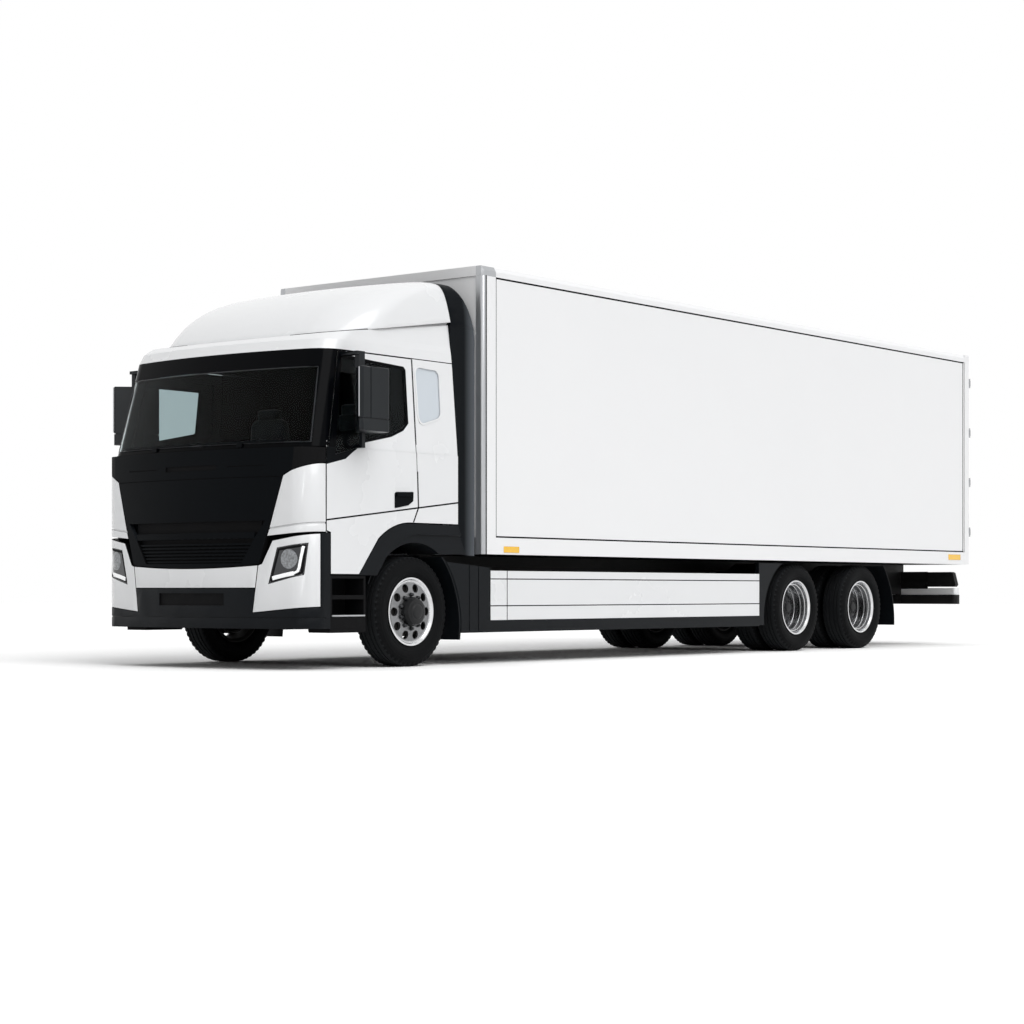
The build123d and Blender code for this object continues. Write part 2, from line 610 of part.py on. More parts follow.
# Box body
SIDE_FRONT = BOX_FRONT + POST + SEAT
SIDE_REAR = BOX_REAR - REAR_DEPTH - SEAT
CAP_LOW = BOX_TOP - CAP_H
CAP_IN = BOX_HALF - 70
bottom_rail = block(WALL_IN, BOX_HALF, SIDE_FRONT, SIDE_REAR, BOX_LOW, BOX_LOW + RAIL_H)
CAP = outline(
    (CAP_IN, CAP_LOW), (BOX_HALF, CAP_LOW), (BOX_HALF, BOX_TOP - 42), (BOX_HALF - CAP_CUT, BOX_TOP),
    (CAP_IN, BOX_TOP),
)
top_rail = along_y(CAP, SIDE_FRONT, SIDE_REAR)
post_side = block(WALL_IN, BOX_HALF, BOX_FRONT + POST_FACE + 3, BOX_FRONT + POST, BOX_LOW, CAP_LOW)
post_front = block(POST_IN, BOX_HALF, BOX_FRONT, BOX_FRONT + POST_FACE, BOX_LOW, CAP_LOW)
post_front += block(POST_IN, WALL_IN - SEAT, BOX_FRONT, BOX_FRONT + FRONT_WALL, BOX_LOW, CAP_LOW)
front_edge = post_front.edges().filter_by(Axis.Z).sort_by(Axis.Y)[:2].sort_by(Axis.X)[-1:]
post_front = fillet(front_edge, 30)
corner_cap = block(POST_IN, BOX_HALF, BOX_FRONT, BOX_FRONT + POST, CAP_LOW + SEAT, BOX_TOP)
cap_edge = corner_cap.edges().filter_by(Axis.Z).sort_by(Axis.Y)[:2].sort_by(Axis.X)[-1:]
corner_cap = fillet(cap_edge, 30)
corner_cap -= along_y(outline(
    (BOX_HALF - CAP_CUT, BOX_TOP), (BOX_HALF + CAP_CUT, BOX_TOP - 84), (BOX_HALF + CAP_CUT, BOX_TOP),
), BOX_FRONT - 100, BOX_FRONT + 400)
head = block(SEAT - POST_IN, POST_IN - SEAT, BOX_FRONT, BOX_FRONT + 120, CAP_LOW, BOX_TOP)
foot = block(SEAT - POST_IN, POST_IN - SEAT, BOX_FRONT, BOX_FRONT + FRONT_WALL, BOX_LOW, FLOOR_TOP - SEAT)
keep("box_rails", *pair(bottom_rail, top_rail, post_side, post_front, corner_cap), head, foot)

WALL_LOW = BOX_LOW + RAIL_H + SEAT
WALL_TOP = CAP_LOW - SEAT
WALL_FACE = BOX_HALF - 17
side_wall = block(WALL_IN, WALL_FACE, SIDE_FRONT, SIDE_REAR, WALL_LOW, WALL_TOP)
side_wall += block(
    WALL_FACE - 1, BOX_HALF - 5, SIDE_FRONT + SEAM, SIDE_REAR - SEAM, WALL_LOW + SEAM, WALL_TOP - SEAM,
)
front_wall = block(
    SEAT - POST_IN, POST_IN - SEAT, BOX_FRONT + 10, BOX_FRONT + FRONT_WALL, FLOOR_TOP, CAP_LOW - SEAT,
)
ceiling = block(
    SEAT - CAP_IN, CAP_IN - SEAT, SIDE_FRONT, SIDE_REAR, BOX_TOP - 60, BOX_TOP - 8,
)
ceiling += block(
    SEAT - POST_IN, POST_IN - SEAT, BOX_FRONT + 120 + SEAT, SIDE_FRONT + 1, BOX_TOP - 60, BOX_TOP - 8,
)
keep("box_panels", *pair(side_wall), front_wall, ceiling)
keep("box_floor", block(
    SEAT - WALL_IN, WALL_IN - SEAT, BOX_FRONT + FRONT_WALL + SEAT, SIDE_REAR, FLOOR_LOW, FLOOR_TOP - SEAT,
))

# Rear frame and doors
OPEN_HALF = BOX_HALF - REAR_POST
HINGE_ZS = spread(FLOOR_TOP + 255, BOX_TOP - 340, HINGES)
rear_frame = block(-BOX_HALF, BOX_HALF, BOX_REAR - REAR_DEPTH, BOX_REAR, BOX_LOW, BOX_TOP)
rear_frame -= block(-OPEN_HALF, OPEN_HALF, BOX_REAR - 200, BOX_REAR + 100, FLOOR_TOP, CAP_LOW)
for z in HINGE_ZS:
    for low in [z - BARREL_H / 2 - LUG_H - 2, z + BARREL_H / 2 + 2]:
        lug = block(REAR_PIN_X - 12, REAR_PIN_X + 12, BOX_REAR - 5, REAR_PIN_Y, low, low + LUG_H)
        lug += post(REAR_PIN_X, REAR_PIN_Y, low, low + LUG_H, 12)
        rear_frame += lug
        rear_frame += other_side(lug)
    hinge_pin = post(REAR_PIN_X, REAR_PIN_Y, z - BARREL_H / 2 - LUG_H, z + BARREL_H / 2 + LUG_H, REAR_PIN_R)
    rear_frame += hinge_pin
    rear_frame += other_side(hinge_pin)
keep("rear_frame", rear_frame)

LEAF_LOW = FLOOR_TOP + LEAF_GAP
LEAF_TOP = CAP_LOW - LEAF_GAP
STRAP_IN = OPEN_HALF - 125
STRAP_LIFT = 5
leaf = block(LEAF_GAP, OPEN_HALF - LEAF_GAP, BOX_REAR - LEAF_T, BOX_REAR, LEAF_LOW, LEAF_TOP)
for x in [260, 860]:
    leaf -= block(x - 30, x + 30, BOX_REAR - 22, BOX_REAR + 1, LEAF_LOW - 1, LEAF_TOP + 1)
    leaf += post(x, BOX_REAR - 2, LEAF_LOW + 34, LEAF_TOP - 34, 14)
    for z in spread(LEAF_LOW + 70, LEAF_TOP - 74, 4):
        leaf += block(x - 34, x + 34, BOX_REAR - 25, BOX_REAR + 14, z - 30, z + 30)
for z in HINGE_ZS:
    strap = block(STRAP_IN, REAR_PIN_X - 8, BOX_REAR + STRAP_LIFT, BOX_REAR + STRAP_LIFT + 8, z - 33, z + 33)
    strap += block(STRAP_IN, OPEN_HALF - 15, BOX_REAR - 2, BOX_REAR + STRAP_LIFT + 1, z - 33, z + 33)
    strap += block(REAR_PIN_X - 16, REAR_PIN_X, BOX_REAR + STRAP_LIFT, REAR_PIN_Y, z - 33, z + 33)
    strap += post(REAR_PIN_X, REAR_PIN_Y, z - BARREL_H / 2, z + BARREL_H / 2, BARREL_R)
    leaf += strap - post(REAR_PIN_X, REAR_PIN_Y, z - 100, z + 100, REAR_PIN_R + SEAT)
keep("rear_door_left", leaf)
keep("rear_door_right", other_side(leaf))

# Rear underrun beam with a bright strip, and a lamp board on an arm at each end
BEAM_FRONT = RAIL_REAR + 15
BEAM_REAR = RAIL_REAR + 150
BEAM_HALF = 1195
BEAM_LOW = 500
BEAM_TOP = 615
BOARD = outline((760, 715), (1165, 715), (1185, 740), (1145, 890), (1120, 900), (770, 900))
underrun = block(-BEAM_HALF, BEAM_HALF, BEAM_FRONT, BEAM_REAR, BEAM_LOW, BEAM_TOP)
underrun = fillet(underrun.edges().filter_by(Axis.Z), 50)
board = along_y(BOARD, BEAM_FRONT + 10, BEAM_FRONT + 90)
stay = block(360, RAIL_OUT, RAIL_REAR + SEAT, BEAM_FRONT + 10, BEAM_LOW, RAIL_TOP)
arm = block(380, 800, BEAM_FRONT - 10, BEAM_FRONT + 20, 742, 782)
underrun += board + stay + arm
underrun += other_side(board + stay + arm)
keep("rear_bumper", underrun)
bright = block(5 - BEAM_HALF, BEAM_HALF - 5, BEAM_FRONT + 12, BEAM_REAR - 5, BEAM_TOP + SEAT, 700)
keep("bumper_strip", fillet(bright.edges().filter_by(Axis.Z), 45))
tail_lamp = block(790, 1130, BEAM_FRONT + 90 + SEAT, BEAM_FRONT + 116, 740, 875)
keep("tail_lamps", *pair(tail_lamp))
marker_front = block(BOX_HALF + SEAT, BOX_HALF + 4, BOX_FRONT + 303, BOX_FRONT + 530, 1011, 1067)
marker_rear = block(BOX_HALF + SEAT, BOX_HALF + 4, SIDE_REAR - 440, SIDE_REAR - 120, 1047, 1113)
keep("marker_lamps", *pair(marker_front, marker_rear))

# Wheels, turned about X with the axle line through the origin
tread = ThreePointArc((108, 477), (0, TYRE_R), (-108, 477))
side_out = ThreePointArc((BEAD_HALF, 304), (TYRE_HALF, 392), (122, 463))
side_in = ThreePointArc((-BEAD_HALF, 304), (-TYRE_HALF, 392), (-122, 463))
tyre = revolve(make_face([
    tread, side_out, side_in, Line((122, 463), (108, 477)), Line((-122, 463), (-108, 477)),
    Polyline((BEAD_HALF, 304), (BEAD_HALF, BEAD_R), (-BEAD_HALF, BEAD_R), (-BEAD_HALF, 304)),
]), Axis.X)

seat_r = BEAD_R - SEAT
inside = BEAD_HALF + SEAT
outside = inside + FLANGE_T
front_rim = revolve(outline(
    (-outside, FLANGE_R), (-inside, FLANGE_R), (-inside, seat_r), (inside, seat_r), (inside, FLANGE_R),
    (outside, FLANGE_R), (outside, 284), (104, 272), (100, 254), (114, 165), (114, 132), (150, 126),
    (182, 112), (188, 92), (188, 0), (128, 0), (128, SPINDLE_R + SEAT), (-20, SPINDLE_R + SEAT), (-20, 110),
    (50, 110), (50, DRUM_R - 20), (-58, DRUM_R - 20), (-58, DRUM_R), (70, DRUM_R), (70, 110), (86, 110),
    (86, 160), (84, 258), (-90, 266), (-outside, 284),
), Axis.X)
near = TWIN_OFFSET - outside
twin_rim = revolve(outline(
    (TWIN_OFFSET + outside, FLANGE_R), (TWIN_OFFSET + inside, FLANGE_R), (TWIN_OFFSET + inside, seat_r),
    (TWIN_OFFSET - inside, seat_r), (TWIN_OFFSET - inside, FLANGE_R), (near, FLANGE_R), (near, 276),
    (-near, 276), (-near, FLANGE_R), (inside - TWIN_OFFSET, FLANGE_R), (inside - TWIN_OFFSET, seat_r),
    (-inside - TWIN_OFFSET, seat_r), (-inside - TWIN_OFFSET, FLANGE_R), (-outside - TWIN_OFFSET, FLANGE_R),
    (-outside - TWIN_OFFSET, 284), (-240, 268), (-20, 262), (-12, 252), (-12, 234), (-195, 234),
    (-195, HUB_BORE + SEAT), (142, HUB_BORE + SEAT), (142, 0), (165, 0), (165, 80), (140, 115), (12, 130),
    (12, 246), (60, 250), (110, 262), (200, 266), (255, 274), (TWIN_OFFSET + outside, 284),
), Axis.X)
for count in range(HAND_HOLES):
    angle = radians(360 / HAND_HOLES * count)
    hole_y = HAND_HOLE_PITCH * cos(angle)
    hole_z = HAND_HOLE_PITCH * sin(angle)
    front_rim -= bar_x(72, 140, hole_y, hole_z, HAND_HOLE_R)
    twin_rim -= bar_x(-60, 40, hole_y * 0.93, hole_z * 0.93, 28)

front_place = Pos(FRONT_TRACK, FRONT_AXLE, WHEEL_Z)
keep("front_rim_left", front_place * front_rim)
keep("front_tyre_left", front_place * tyre)
keep("front_rim_right", other_side(front_place * front_rim))
keep("front_tyre_right", other_side(front_place * tyre))
for row, y in zip(["mid", "rear"], REAR_AXLES):
    place = Pos(TWIN_TRACK, y, WHEEL_Z)
    tyres = [place * Pos(shift, 0, 0) * tyre for shift in [-TWIN_OFFSET, TWIN_OFFSET]]
    keep(f"{row}_rims_left", place * twin_rim)
    keep(f"{row}_tyres_left", *tyres)
    keep(f"{row}_rims_right", other_side(place * twin_rim))
    keep(f"{row}_tyres_right", *[other_side(one) for one in tyres])

# Steering knuckle: two lugs over and under the axle boss, kingpin, plate and spindle
LUGS = [370, 545]
LUG_T = 45
PLATE_X = 980
knuckle = block(PLATE_X, PLATE_X + 24, FRONT_AXLE - 60, FRONT_AXLE + 60, LUGS[0], LUGS[1] + LUG_T)
for low in LUGS:
    knuckle += block(KINGPIN_X, PLATE_X + 10, FRONT_AXLE - 45, FRONT_AXLE + 45, low, low + LUG_T)
    knuckle += post(KINGPIN_X, FRONT_AXLE, low, low + LUG_T, 45)
knuckle += post(KINGPIN_X, FRONT_AXLE, LUGS[0], LUGS[1] + LUG_T, KINGPIN_R - SEAT)
knuckle += bar_x(PLATE_X + 20, FRONT_TRACK + 125, FRONT_AXLE, WHEEL_Z, SPINDLE_R)
knuckle += bar_x(PLATE_X + 20, FRONT_TRACK - 28, FRONT_AXLE, WHEEL_Z, SPINDLE_R + 30)
keep("knuckle_left", knuckle)
keep("knuckle_right", other_side(knuckle))

os.makedirs("parts", exist_ok=True)
for name, solids in nodes.items():
    moved = [Pos(0, -CENTRE_Y, 0) * solid for solid in solids]
    shape = moved[0] if len(moved) == 1 else Compound(moved)
    export_step(shape, f"parts/{name}.step")
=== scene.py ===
import math

import bmesh
import bpy
from mathutils import Matrix, Vector
from mathutils.bvhtree import BVHTree


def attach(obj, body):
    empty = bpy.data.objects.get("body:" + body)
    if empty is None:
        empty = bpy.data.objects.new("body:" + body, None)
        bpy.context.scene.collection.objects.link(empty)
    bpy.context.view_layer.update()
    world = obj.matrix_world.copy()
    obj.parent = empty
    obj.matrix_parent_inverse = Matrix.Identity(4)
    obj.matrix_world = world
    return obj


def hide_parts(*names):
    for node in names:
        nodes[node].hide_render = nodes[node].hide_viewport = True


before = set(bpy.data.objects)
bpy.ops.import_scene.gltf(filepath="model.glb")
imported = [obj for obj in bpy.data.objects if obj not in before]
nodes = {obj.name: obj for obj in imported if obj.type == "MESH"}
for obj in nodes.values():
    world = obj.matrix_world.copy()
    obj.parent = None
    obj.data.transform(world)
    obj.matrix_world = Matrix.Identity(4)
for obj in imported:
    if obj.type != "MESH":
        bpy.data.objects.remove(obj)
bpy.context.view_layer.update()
scene = bpy.context.scene
scene.view_settings.view_transform = "Standard"

SIDES = [("left", 1), ("right", -1)]

# Places in metres. MID takes the truck's own Y to the middle of the plan box
MID = -0.053
FRONT_AXLE = -4.5 + MID
TWIN_AXLES = {"mid": 1.98 + MID, "rear": 3.425 + MID}
WHEEL_Z = 0.48
FRONT_TRACK = 1.075
TWIN_TRACK = 0.935
TWIN_OFFSET = 0.155

# Rims: half widths at which their faces lie, and radii
FRONT_DISC_X = FRONT_TRACK + 0.083
FRONT_HUB_X = FRONT_TRACK + 0.112
FRONT_NUT_X = FRONT_TRACK + 0.114
FRONT_CAP_X = FRONT_TRACK + 0.188
FRONT_DISC_R = 0.2608
FRONT_HUB_R = 0.1327
TWIN_DISC_X = TWIN_TRACK + 0.0115
TWIN_NUT_X = TWIN_TRACK + 0.012
TWIN_HUB_X = TWIN_TRACK + 0.0125
TWIN_CAP_X = TWIN_TRACK + 0.164
TWIN_DISC_R = 0.252
TWIN_HUB_R = 0.1304

# Cab: sides that lean in above the waist, and a bowed front with round corners
SIDE_X = 1.25
WAIST_X = 1.245
WAIST_Z = 1.86
LEAN_IN = 0.050
LEAN_HEIGHT = 0.83
CREASE_X = 1.244
NOSE_Y = -6.0 + MID
BOW_SPAN = 10.57
BOW_HALF = 1.02
BOW_RADIUS = 5.3
CORNER_Y = -5.70
CAB_MIDDLE = Vector((0.0, -4.85 + MID, 2.2))
AHEAD_Y = -7.0

# Box: the lined side wall, its rails and the corner post
BOX_REAR = 6.05 + MID
WALL_Y = (-3.415, 5.895)
WALL_Z = (1.156, 3.499)
WALL_GROOVE_X = 1.258
SKIRT_GROOVE_X = 1.240
RAIL_LOW = 1.145
RAIL_TOP = 3.51
POST_Y = -3.5605
POST_SEAM_Y = -3.560 + MID
HEAD_END_Y = -3.42 + MID
LOCK_RODS = (0.26, 0.86)


# Camera at the photograph's viewing angle
def add_camera():
    data = bpy.data.cameras.new("camera")
    data.sensor_width = 36.0
    data.lens = 76.46
    data.shift_y = 0.0778
    data.clip_end = 200.0
    camera = bpy.data.objects.new("camera", data)
    scene.collection.objects.link(camera)
    camera.location = (13.614, -18.853 + MID, 0.654)
    camera.rotation_euler = (math.radians(90.0), 0.0, math.radians(38.22))
    scene.camera = camera


# Shader nodes
def node(tree, kind, **values):
    """A shader node with values on its inputs, whose names have underscores for spaces."""
    made = tree.nodes.new("ShaderNode" + kind)
    for socket, value in values.items():
        made.inputs[socket.replace("_", " ")].default_value = value
    return made


def combine(tree, operation, one, two):
    """The result of a maths operation on two outputs."""
    made = node(tree, "Math")
    made.operation = operation
    tree.links.new(one, made.inputs[0])
    tree.links.new(two, made.inputs[1])
    return made.outputs[0]


def mix_colours(tree, share, under, over):
    """A mix of two colours, the first of which may be another node's output."""
    made = node(tree, "Mix")
    made.data_type = "RGBA"
    if isinstance(under, tuple):
        made.inputs["A"].default_value = (*under, 1.0)
    else:
        tree.links.new(under, made.inputs["A"])
    made.inputs["B"].default_value = (*over, 1.0)
    tree.links.new(share, made.inputs["Factor"])
    return made.outputs["Result"]


def run_along(tree, place, axis, start, end, low, high):
    """A value that goes from low to high between two places on an axis."""
    split = node(tree, "SeparateXYZ")
    run = node(tree, "MapRange", From_Min=start, From_Max=end, To_Min=low, To_Max=high)
    tree.links.new(place, split.inputs[0])
    tree.links.new(split.outputs[axis], run.inputs["Value"])
    return run.outputs["Result"]


# Materials: a base colour that drifts into a second shade, a roughness that varies, and a fine grain as bump.
# Dust is (colour, height, amount) and thins out upward; a painted light fade is (colour, start, end) and
# paints a lit tone in along Y, as painted light and shade
GRAIN_DEPTH = 0.001


def material(name, colour, rough, shade, scale, spread, grain, bump, stretch=(1.0, 1.0, 1.0), dust=None,
             painted_light_fade=None, **sockets):
    made = bpy.data.materials.new(name)
    made.use_nodes = True
    tree = made.node_tree
    shader = tree.nodes["Principled BSDF"]
    for socket, value in sockets.items():
        shader.inputs[socket.replace("_", " ")].default_value = value
    place = node(tree, "TexCoord").outputs["Object"]
    noise = node(tree, "TexNoise", Scale=scale, Detail=5.0)
    drift = noise.outputs["Fac"]
    tree.links.new(place, noise.inputs["Vector"])
    top = mix_colours(tree, drift, colour, shade)
    if dust:
        film, height, amount = dust
        fall = run_along(tree, place, "Z", 0.0, height, amount, 0.0)
        top = mix_colours(tree, combine(tree, "MULTIPLY", fall, drift), top, film)
    # Painted light and shade: a lit tone mixed into the colour along Y
    if painted_light_fade:
        lit_tone, start, end = painted_light_fade
        top = mix_colours(tree, run_along(tree, place, "Y", start, end, 0.0, 1.0), top, lit_tone)
    tree.links.new(top, shader.inputs["Base Color"])
    polish = node(tree, "MapRange", To_Min=max(0.0, rough - spread), To_Max=min(1.0, rough + spread))
    tree.links.new(drift, polish.inputs["Value"])
    tree.links.new(polish.outputs["Result"], shader.inputs["Roughness"])
    turn = node(tree, "Mapping", Scale=stretch)
    fine = node(tree, "TexNoise", Scale=grain, Detail=3.0)
    relief = node(tree, "Bump", Strength=bump, Distance=GRAIN_DEPTH)
    tree.links.new(place, turn.inputs["Vector"])
    tree.links.new(turn.outputs["Vector"], fine.inputs["Vector"])
    tree.links.new(fine.outputs["Fac"], relief.inputs["Height"])
    tree.links.new(relief.outputs["Normal"], shader.inputs["Normal"])
    return made


ROAD = (0.16, 0.15, 0.135)

# Paint and panels
WHITE = material("cab_paint", (0.765, 0.772, 0.782), 0.26, (0.735, 0.745, 0.757), 1.1, 0.06, 260.0, 0.025,
                 Coat_Weight=0.4, Coat_Roughness=0.06)
BOX_WHITE = material("box_laminate", (0.835, 0.838, 0.845), 0.36, (0.81, 0.815, 0.825), 0.7, 0.06, 120.0,
                     0.03, Coat_Weight=0.15, Coat_Roughness=0.2)
LINER = material("box_lining", (0.62, 0.62, 0.61), 0.55, (0.55, 0.55, 0.54), 1.8, 0.08, 90.0, 0.05)
PLY = material("coated_ply", (0.13, 0.095, 0.065), 0.55, (0.075, 0.055, 0.04), 3.0, 0.1, 60.0, 0.15,
               stretch=(6.0, 1.0, 1.0))
INSET = material("inset_pane", (0.60, 0.645, 0.69), 0.2, (0.52, 0.57, 0.62), 1.3, 0.05, 200.0, 0.01,
                 Coat_Weight=0.3)

# Black plastics, rubber and cloth
BLACK = material("gloss_black", (0.0012, 0.0015, 0.0021), 0.1, (0.0020, 0.0024, 0.0032), 1.5, 0.03, 200.0,
                 0.01, Specular_IOR_Level=0.035)
PANEL = material("satin_black", (0.0019, 0.0026, 0.0034), 0.3, (0.0034, 0.0044, 0.0056), 2.0, 0.06, 700.0,
                 0.05, Specular_IOR_Level=0.035)
DARK = material("moulded_plastic", (0.0034, 0.0044, 0.0058), 0.38, (0.0056, 0.0070, 0.0088), 3.0, 0.07,
                900.0, 0.14, dust=(ROAD, 0.7, 0.012), Specular_IOR_Level=0.09)
# Lighter grey over black plastics: painted highlight on upward faces and on the windscreen's seal bead
SLATE_HIGHLIGHT = material("slate_highlight", (0.014, 0.0165, 0.0195), 0.4, (0.020, 0.023, 0.027), 3.0, 0.07, 900.0,
                 0.12, Specular_IOR_Level=0.25)
# gap_panel: a dark side panel whose fade along Y is painted shade by the cab and painted light towards the
# box
GAP_PANEL = material("gap_panel", (0.0026, 0.0036, 0.0048), 0.4, (0.0042, 0.0054, 0.007), 3.0, 0.07, 900.0,
                     0.1, painted_light_fade=((0.13, 0.142, 0.156), -3.82, -3.64), Specular_IOR_Level=0.05)
CASE = material("mirror_case", (0.0075, 0.0095, 0.0115), 0.3, (0.011, 0.0135, 0.016), 5.0, 0.06, 800.0,
                0.06, Specular_IOR_Level=0.2)
# Cab interior: dark trim, darkened further as painted shade inside the cab
INSIDE = material("cab_trim", (0.0035, 0.0038, 0.0044), 0.8, (0.0055, 0.0058, 0.0064), 4.0, 0.08, 500.0,
                  0.06, Specular_IOR_Level=0.08)
# Dark rubber for seams, seals and borders, also used as painted shade in creases, grooves, slots, recesses,
# step wells and under the roof fairing
RUBBER_AND_SHADE = material("seam_rubber_and_shade", (0.0025, 0.0026, 0.003), 0.75, (0.004, 0.004, 0.0045), 6.0, 0.08, 500.0,
                  0.1, Specular_IOR_Level=0.1)
TYRE = material("tyre_rubber", (0.0026, 0.0029, 0.0034), 0.62, (0.0042, 0.0045, 0.005), 7.0, 0.08, 420.0,
                0.25, dust=(ROAD, 0.9, 0.006), Specular_IOR_Level=0.06)
WORN = material("worn_tread", (0.008, 0.009, 0.0102), 0.7, (0.014, 0.015, 0.0162), 16.0, 0.08, 300.0, 0.3,
                Specular_IOR_Level=0.1)
CLOTH = material("seat_cloth", (0.009, 0.0105, 0.0135), 0.92, (0.015, 0.0165, 0.020), 40.0, 0.05, 1100.0,
                 0.5, Specular_IOR_Level=0.2, Sheen_Weight=0.2)

# Metals
CHASSIS = material("chassis_paint", (0.004, 0.0042, 0.0048), 0.5, (0.007, 0.007, 0.007), 5.0, 0.1, 160.0,
                   0.12, dust=(ROAD, 1.1, 0.06), Specular_IOR_Level=0.15)
CAST = material("cast_iron", (0.010, 0.010, 0.010), 0.6, (0.016, 0.0145, 0.013), 9.0, 0.1, 120.0, 0.3,
                dust=(ROAD, 1.2, 0.1), Specular_IOR_Level=0.2)
HUB = material("hub_paint", (0.004, 0.0044, 0.005), 0.4, (0.007, 0.0075, 0.0085), 8.0, 0.08, 260.0, 0.15,
               Specular_IOR_Level=0.25)
CHROME = material("chrome", (0.78, 0.79, 0.80), 0.12, (0.7, 0.71, 0.72), 12.0, 0.05, 300.0, 0.02,
                  Metallic=1.0)
ALLOY = material("polished_alloy", (0.74, 0.745, 0.755), 0.24, (0.64, 0.645, 0.655), 6.0, 0.07, 220.0, 0.04,
                 Metallic=1.0)
# Darker alloy on the front rims' dish: painted shade
DISC = material("dish_shade_alloy", (0.30, 0.305, 0.31), 0.36, (0.17, 0.172, 0.178), 9.0, 0.1, 260.0, 0.06,
                Metallic=0.95)
# shaded_alloy is a shaded copy of the alloy: painted shade on the rear rims' recessed discs and the front
# wheel nuts
SHADED = material("shaded_alloy", (0.055, 0.057, 0.06), 0.4, (0.03, 0.031, 0.033), 12.0, 0.1, 260.0, 0.1,
                  Metallic=0.8)
STEEL = material("rail_metal", (0.50, 0.51, 0.525), 0.34, (0.42, 0.43, 0.445), 2.0, 0.08, 60.0, 0.05,
                 stretch=(4.0, 4.0, 0.2), Metallic=0.85)
GALVANISED = material("galvanised", (0.46, 0.47, 0.48), 0.42, (0.34, 0.35, 0.36), 14.0, 0.1, 180.0, 0.1,
                      Metallic=0.9)
BRIGHT = material("brushed_strip", (0.86, 0.87, 0.88), 0.4, (0.76, 0.77, 0.78), 3.0, 0.1, 80.0, 0.06,
                  stretch=(0.2, 4.0, 4.0), Metallic=0.25)

# Glass and lamps
GLASS = material("tinted_glass", (0.555, 0.63, 0.64), 0.0, (0.545, 0.62, 0.63), 1.0, 0.0, 2.0, 0.0,
                 Transmission_Weight=1.0, IOR=1.12, Specular_IOR_Level=0.5)
SILVERED = material("mirror_glass", (0.82, 0.84, 0.86), 0.03, (0.8, 0.82, 0.84), 3.0, 0.01, 4.0, 0.0,
                    Metallic=1.0)
LENS = material("lamp_lens", (0.006, 0.0072, 0.009), 0.08, (0.018, 0.020, 0.024), 9.0, 0.03, 60.0, 0.05,
                Coat_Weight=0.4, Coat_Roughness=0.02)
# The projector's pale second colour, at a fine scale, paints glints of the reflector behind the lens: painted
# highlight
PROJECTOR = material("projector", (0.004, 0.005, 0.006), 0.12, (0.42, 0.44, 0.46), 55.0, 0.05, 120.0, 0.2,
                     Coat_Weight=0.5)
LED = material("lamp_strip", (0.86, 0.87, 0.88), 0.2, (0.8, 0.81, 0.82), 30.0, 0.05, 200.0, 0.1,
               Emission_Color=(1.0, 1.0, 1.0, 1.0), Emission_Strength=0.25)
RED = material("red_lens", (0.32, 0.010, 0.010), 0.18, (0.22, 0.006, 0.006), 40.0, 0.05, 260.0, 0.25,
               Coat_Weight=0.5)
AMBER = material("amber_lens", (0.92, 0.56, 0.055), 0.25, (0.84, 0.47, 0.04), 40.0, 0.05, 260.0, 0.25,
                 Coat_Weight=0.3)


# Where on a solid a material goes: tests on a face's centre and normal
def outward(centre):
    """Direction out of the cab's front at a place on its bowed and rounded face."""
    side = 1 if centre.x > 0 else -1
    if abs(centre.x) < BOW_HALF:
        return Vector((centre.x / BOW_RADIUS, -1.0, 0.0)).normalized()
    away = Vector((centre.x - BOW_HALF * side, min(0.0, centre.y - CORNER_Y), 0.0))
    return away.normalized() if away.length > 0.001 else Vector((side, 0.0, 0.0))


def front_edge(centre, normal):
    return abs(normal.dot(outward(centre))) < 0.55


def front_inner(centre, normal):
    return normal.dot(outward(centre)) < -0.5


def inner(centre, normal):
    """True on faces that look into the cab."""
    return normal.dot(centre - CAB_MIDDLE) < 0.0


def skin_x(z):
    """Half width of the cab at a height."""
    return SIDE_X if z < WAIST_Z else WAIST_X - LEAN_IN * (z - WAIST_Z) / LEAN_HEIGHT


def in_quarter(centre):
    """True inside the recess of the quarter window."""
    inside = -4.47 + MID < centre.y < -4.13 + MID and 2.10 < centre.z < 2.63
    return inside and abs(centre.x) < skin_x(centre.z) - 0.001


def groove_floor(centre, x):
    return abs(abs(centre.x) - x) < 0.0008


# The body line's groove floor is painted dark: painted shade in the crease
def shaded_crease(centre, normal):
    return groove_floor(centre, CREASE_X) and abs(normal.x) > 0.9 and 1.2 < centre.z < 1.5


def depth(centre):
    """Depth of a place behind the lower part of the cab's front."""
    return centre.y - (NOSE_Y + centre.x ** 2 / BOW_SPAN)


def side_edge(centre, normal):
    return abs(normal.x) < 0.5


def side_inner(centre, normal):
    return normal.x * centre.x < 0 and abs(normal.x) > 0.5


def off_axle(centre, axle_y):
    """Distance of a place from an axle's line."""
    return math.hypot(centre.y - axle_y, centre.z - WHEEL_Z)


def rod_groove(centre):
    """True in the grooves that hold a rear door's lock rods."""
    return centre.y > BOX_REAR - 0.0215 and any(abs(abs(centre.x) - rod) < 0.0295 for rod in LOCK_RODS)


def paint(name, base, *rules):
    """Gives a CAD node its materials: a base, and others where a rule on face centre and normal holds."""
    thing = nodes[name]
    mesh = thing.data
    mesh.materials.clear()
    for finish in [base, *[rule[0] for rule in rules]]:
        mesh.materials.append(finish)
    turn = thing.matrix_world.to_3x3()
    for face in mesh.polygons:
        centre = thing.matrix_world @ face.center
        normal = turn @ face.normal
        face.material_index = 0
        for number, (_, test) in enumerate(rules, 1):
            if test(centre, normal):
                face.material_index = number


